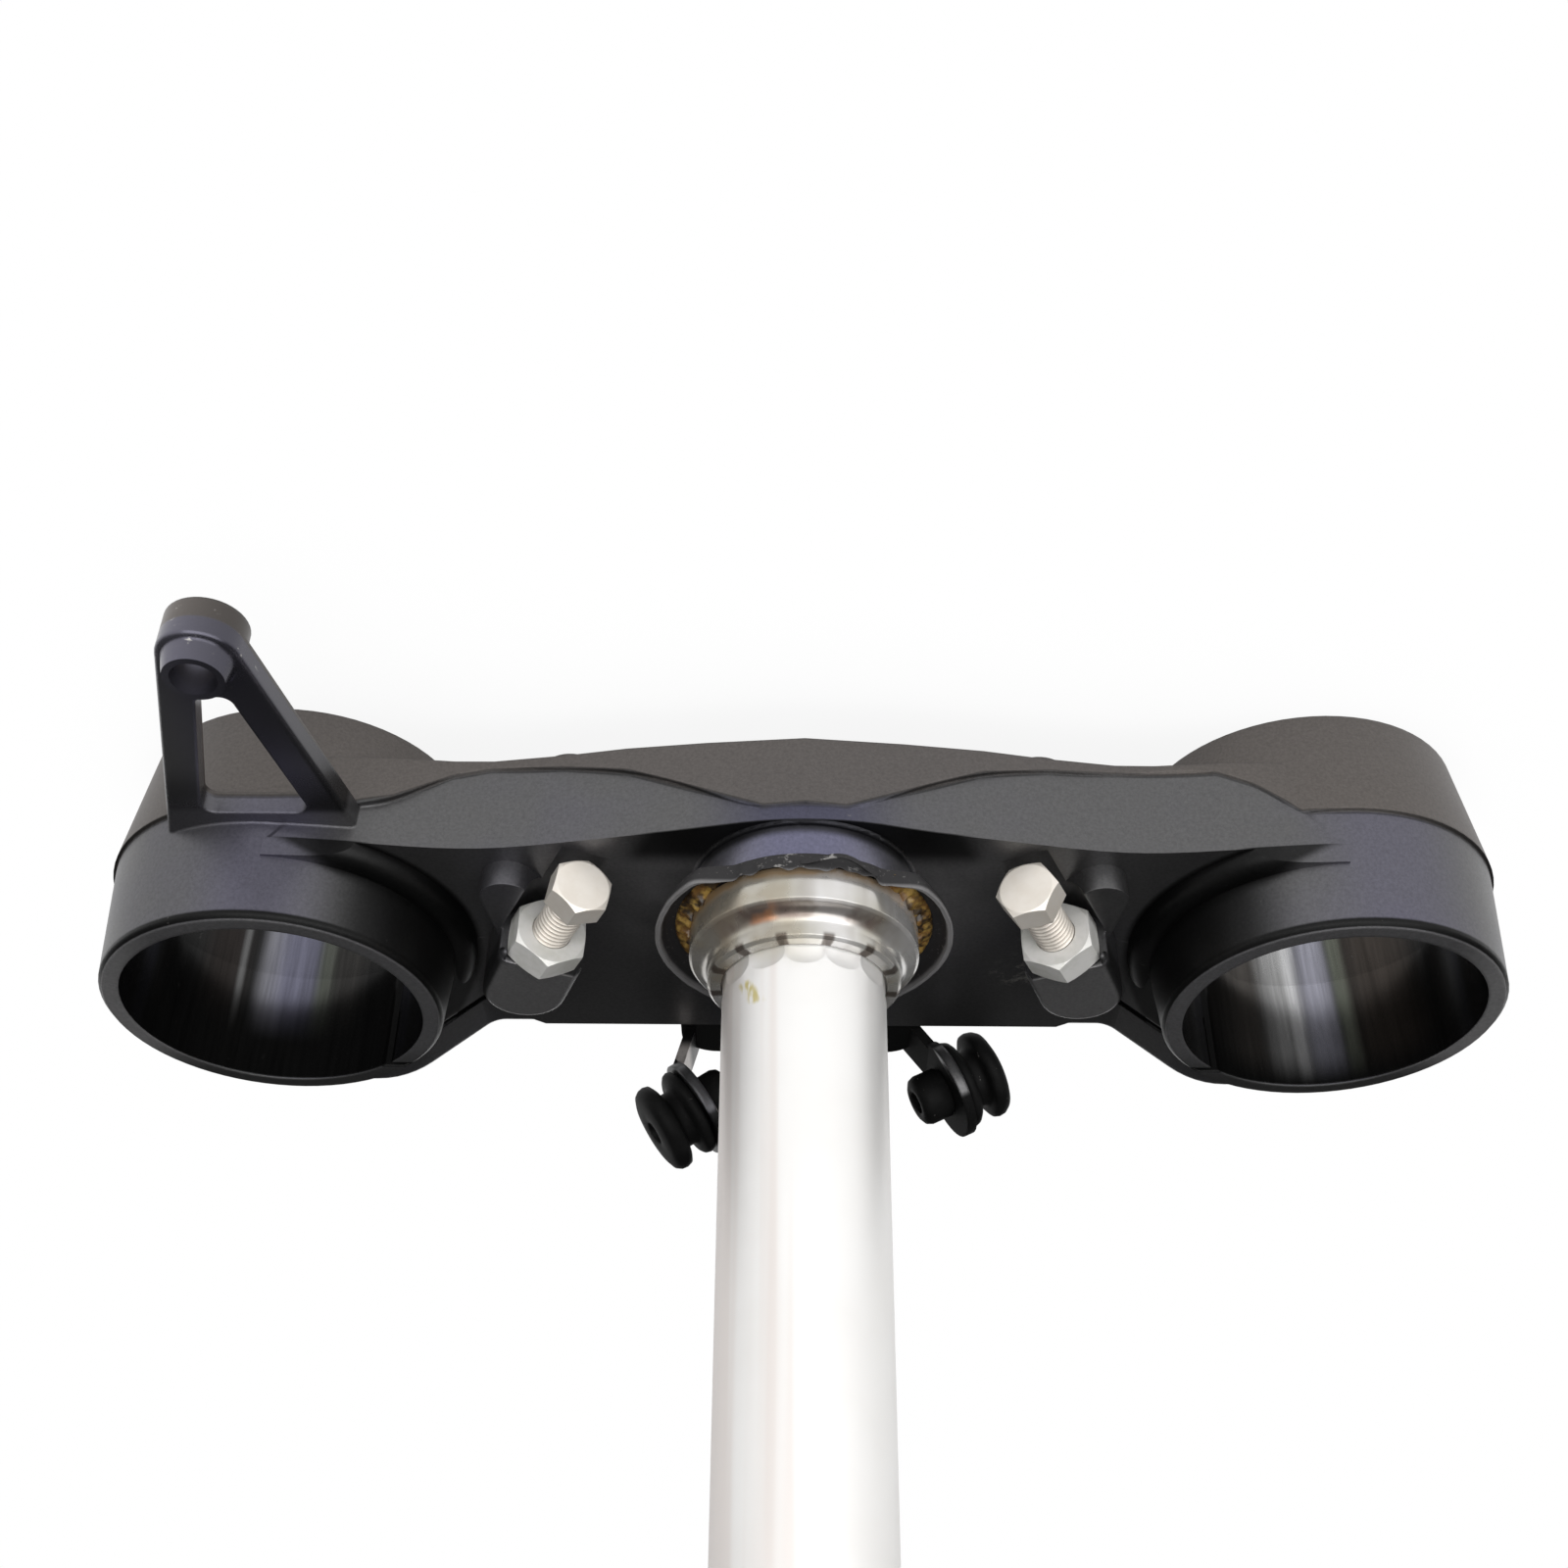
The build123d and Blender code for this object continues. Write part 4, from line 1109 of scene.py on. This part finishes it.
class CLAMP_OT_stage(Operator):
    """Set up the floor, the lamps and the camera."""

    bl_idname = "clamp.stage"
    bl_label = "Stage"

    def execute(self, context):
        stage = context.scene.stage_settings
        context.scene.view_settings.view_transform = "Standard"
        lay_floor(stage)
        light_world()
        hang_softbox(stage)
        set_camera(stage)
        return {"FINISHED"}


def lay_floor(stage):
    """A pale round floor that the part's rings stand on."""
    shape = bmesh.new()
    bmesh.ops.create_circle(shape, cap_ends=True, segments=96, radius=stage.floor_radius)
    bmesh.ops.translate(shape, vec=(0.0, 0.0, (RING_BOTTOM - FLOOR_GAP) * MM), verts=shape.verts[:])
    floor = new_object("pale_floor", shape, pale_paper())


def pale_paper():
    """White where it is seen, with a faint shade near the part, and matt for the light it throws."""
    material = bpy.data.materials.new("pale_floor")
    material.use_nodes = True
    tree = material.node_tree
    tree.nodes.clear()
    wire = Wire(tree)
    straight, seen = seen_rays(wire)
    open_sky = wire.node("ShaderNodeAmbientOcclusion", {"samples": 8},
                         {"Distance": FLOOR_SHADE_REACH * MM}, "AO")
    matt = wire.node("ShaderNodeBsdfDiffuse", {}, {"Color": opaque(FLOOR_GREY)})
    pale = open_sky.fade(0.0, 0.8, 0.9, 1.0) * straight
    mirrored = open_sky.fade(0.0, 0.75, 0.7, 1.0) * (1.0 - straight)
    white = wire.node("ShaderNodeEmission", {}, {"Strength": pale + mirrored})
    mixed = wire.node("ShaderNodeMixShader", {}, {0: seen, 1: matt, 2: white})
    output = tree.nodes.new("ShaderNodeOutputMaterial")
    tree.links.new(mixed.socket, output.inputs[0])
    return material


def seen_rays(wire):
    """1 for straight rays, and 1 for all that show the background: straight, mirrored or through glass."""
    path = wire.node("ShaderNodeLightPath", {}, {})
    rays = path.socket.node.outputs
    straight, mirrored, through = (Wire(wire.tree, rays[name]) for name in
                                   ("Is Camera Ray", "Is Glossy Ray", "Is Transmission Ray"))
    return straight, straight.math("MAXIMUM", straight, mirrored.math("MAXIMUM", mirrored, through))


def light_world():
    """A white rear and sides, with a dark front above the part."""
    world = bpy.data.worlds.new("studio")
    world.use_nodes = True
    bpy.context.scene.world = world
    tree = world.node_tree
    wire = Wire(tree)
    straight, _ = seen_rays(wire)
    _, y, z = wire.node("ShaderNodeTexCoord", {}, {}, "Generated").axes()
    rear = (y * 0.8 + z * 0.45).fade(-0.4, 0.15, 0.85, 0.065)
    strength = straight.math("MAXIMUM", straight, rear)
    background = tree.nodes["Background"]
    background.inputs["Color"].default_value = opaque(WHITE)
    tree.links.new(strength.socket, background.inputs["Strength"])


def hang_softbox(stage):
    """A broad lamp behind the part that faces the origin."""
    lamp = bpy.data.lights.new("rear_softbox", "AREA")
    lamp.shape = "RECTANGLE"
    lamp.size, lamp.size_y = stage.softbox_size
    lamp.energy = stage.softbox_power
    softbox = bpy.data.objects.new("rear_softbox", lamp)
    bpy.context.scene.collection.objects.link(softbox)
    softbox.location = stage.softbox_place
    softbox.rotation_euler = Vector(stage.softbox_place).to_track_quat("Z", "Y").to_euler()


def set_camera(stage):
    """Camera at the photograph's viewing angle, upside down as the part was shown."""
    azimuth, elevation, roll = stage.camera_azimuth, stage.camera_elevation, stage.camera_roll
    back = Vector((sin(azimuth) * cos(elevation), -cos(azimuth) * cos(elevation), sin(elevation)))
    level = (-back).cross(Vector((0.0, 0.0, 1.0))).normalized()
    upward = level.cross(-back)
    right = cos(roll) * level + sin(roll) * upward
    up = -sin(roll) * level + cos(roll) * upward
    data = bpy.data.cameras.new("photo_camera")
    data.lens = stage.lens
    data.sensor_width = 36.0
    data.clip_start = 0.01
    camera = bpy.data.objects.new("photo_camera", data)
    bpy.context.scene.collection.objects.link(camera)
    turn = Matrix((right, up, back)).transposed().to_4x4()
    turn.translation = Vector(stage.camera_place)
    camera.matrix_world = turn
    bpy.context.scene.camera = camera


class CLAMP_PT_panel(Panel):
    """Lists the steps that finish the clamp."""

    bl_idname = "CLAMP_PT_panel"
    bl_label = "Lower triple clamp"
    bl_space_type = "VIEW_3D"
    bl_region_type = "UI"
    bl_category = "Clamp"

    def draw(self, context):
        for step in OPERATORS:
            self.layout.operator(step.bl_idname)


OPERATORS = (CLAMP_OT_forging, CLAMP_OT_stem, CLAMP_OT_race, CLAMP_OT_seal, CLAMP_OT_grease,
             CLAMP_OT_stop_bolts, CLAMP_OT_pinch_bolts, CLAMP_OT_grommets, CLAMP_OT_stage)
GROUPS = {"clamp_finish": ClampFinish, "metal_finish": MetalFinish, "rubber_finish": RubberFinish,
          "stop_bolt_sizes": StopBoltSizes, "seal_sizes": SealSizes, "stage_settings": StageSettings}


def register():
    for group in GROUPS.values():
        bpy.utils.register_class(group)
    for name, group in GROUPS.items():
        setattr(bpy.types.Scene, name, PointerProperty(type=group))
    for step in OPERATORS:
        bpy.utils.register_class(step)
    bpy.utils.register_class(CLAMP_PT_panel)


def unregister():
    bpy.utils.unregister_class(CLAMP_PT_panel)
    for step in reversed(OPERATORS):
        bpy.utils.unregister_class(step)
    for name in GROUPS:
        delattr(bpy.types.Scene, name)
    for group in GROUPS.values():
        bpy.utils.unregister_class(group)


def main():
    register()
    bpy.ops.clamp.forging()
    bpy.ops.clamp.stem()
    bpy.ops.clamp.race()
    bpy.ops.clamp.seal()
    bpy.ops.clamp.grease()
    bpy.ops.clamp.stop_bolts()
    bpy.ops.clamp.pinch_bolts()
    bpy.ops.clamp.grommets()
    bpy.ops.clamp.stage()


if __name__ == "__main__":
    main()
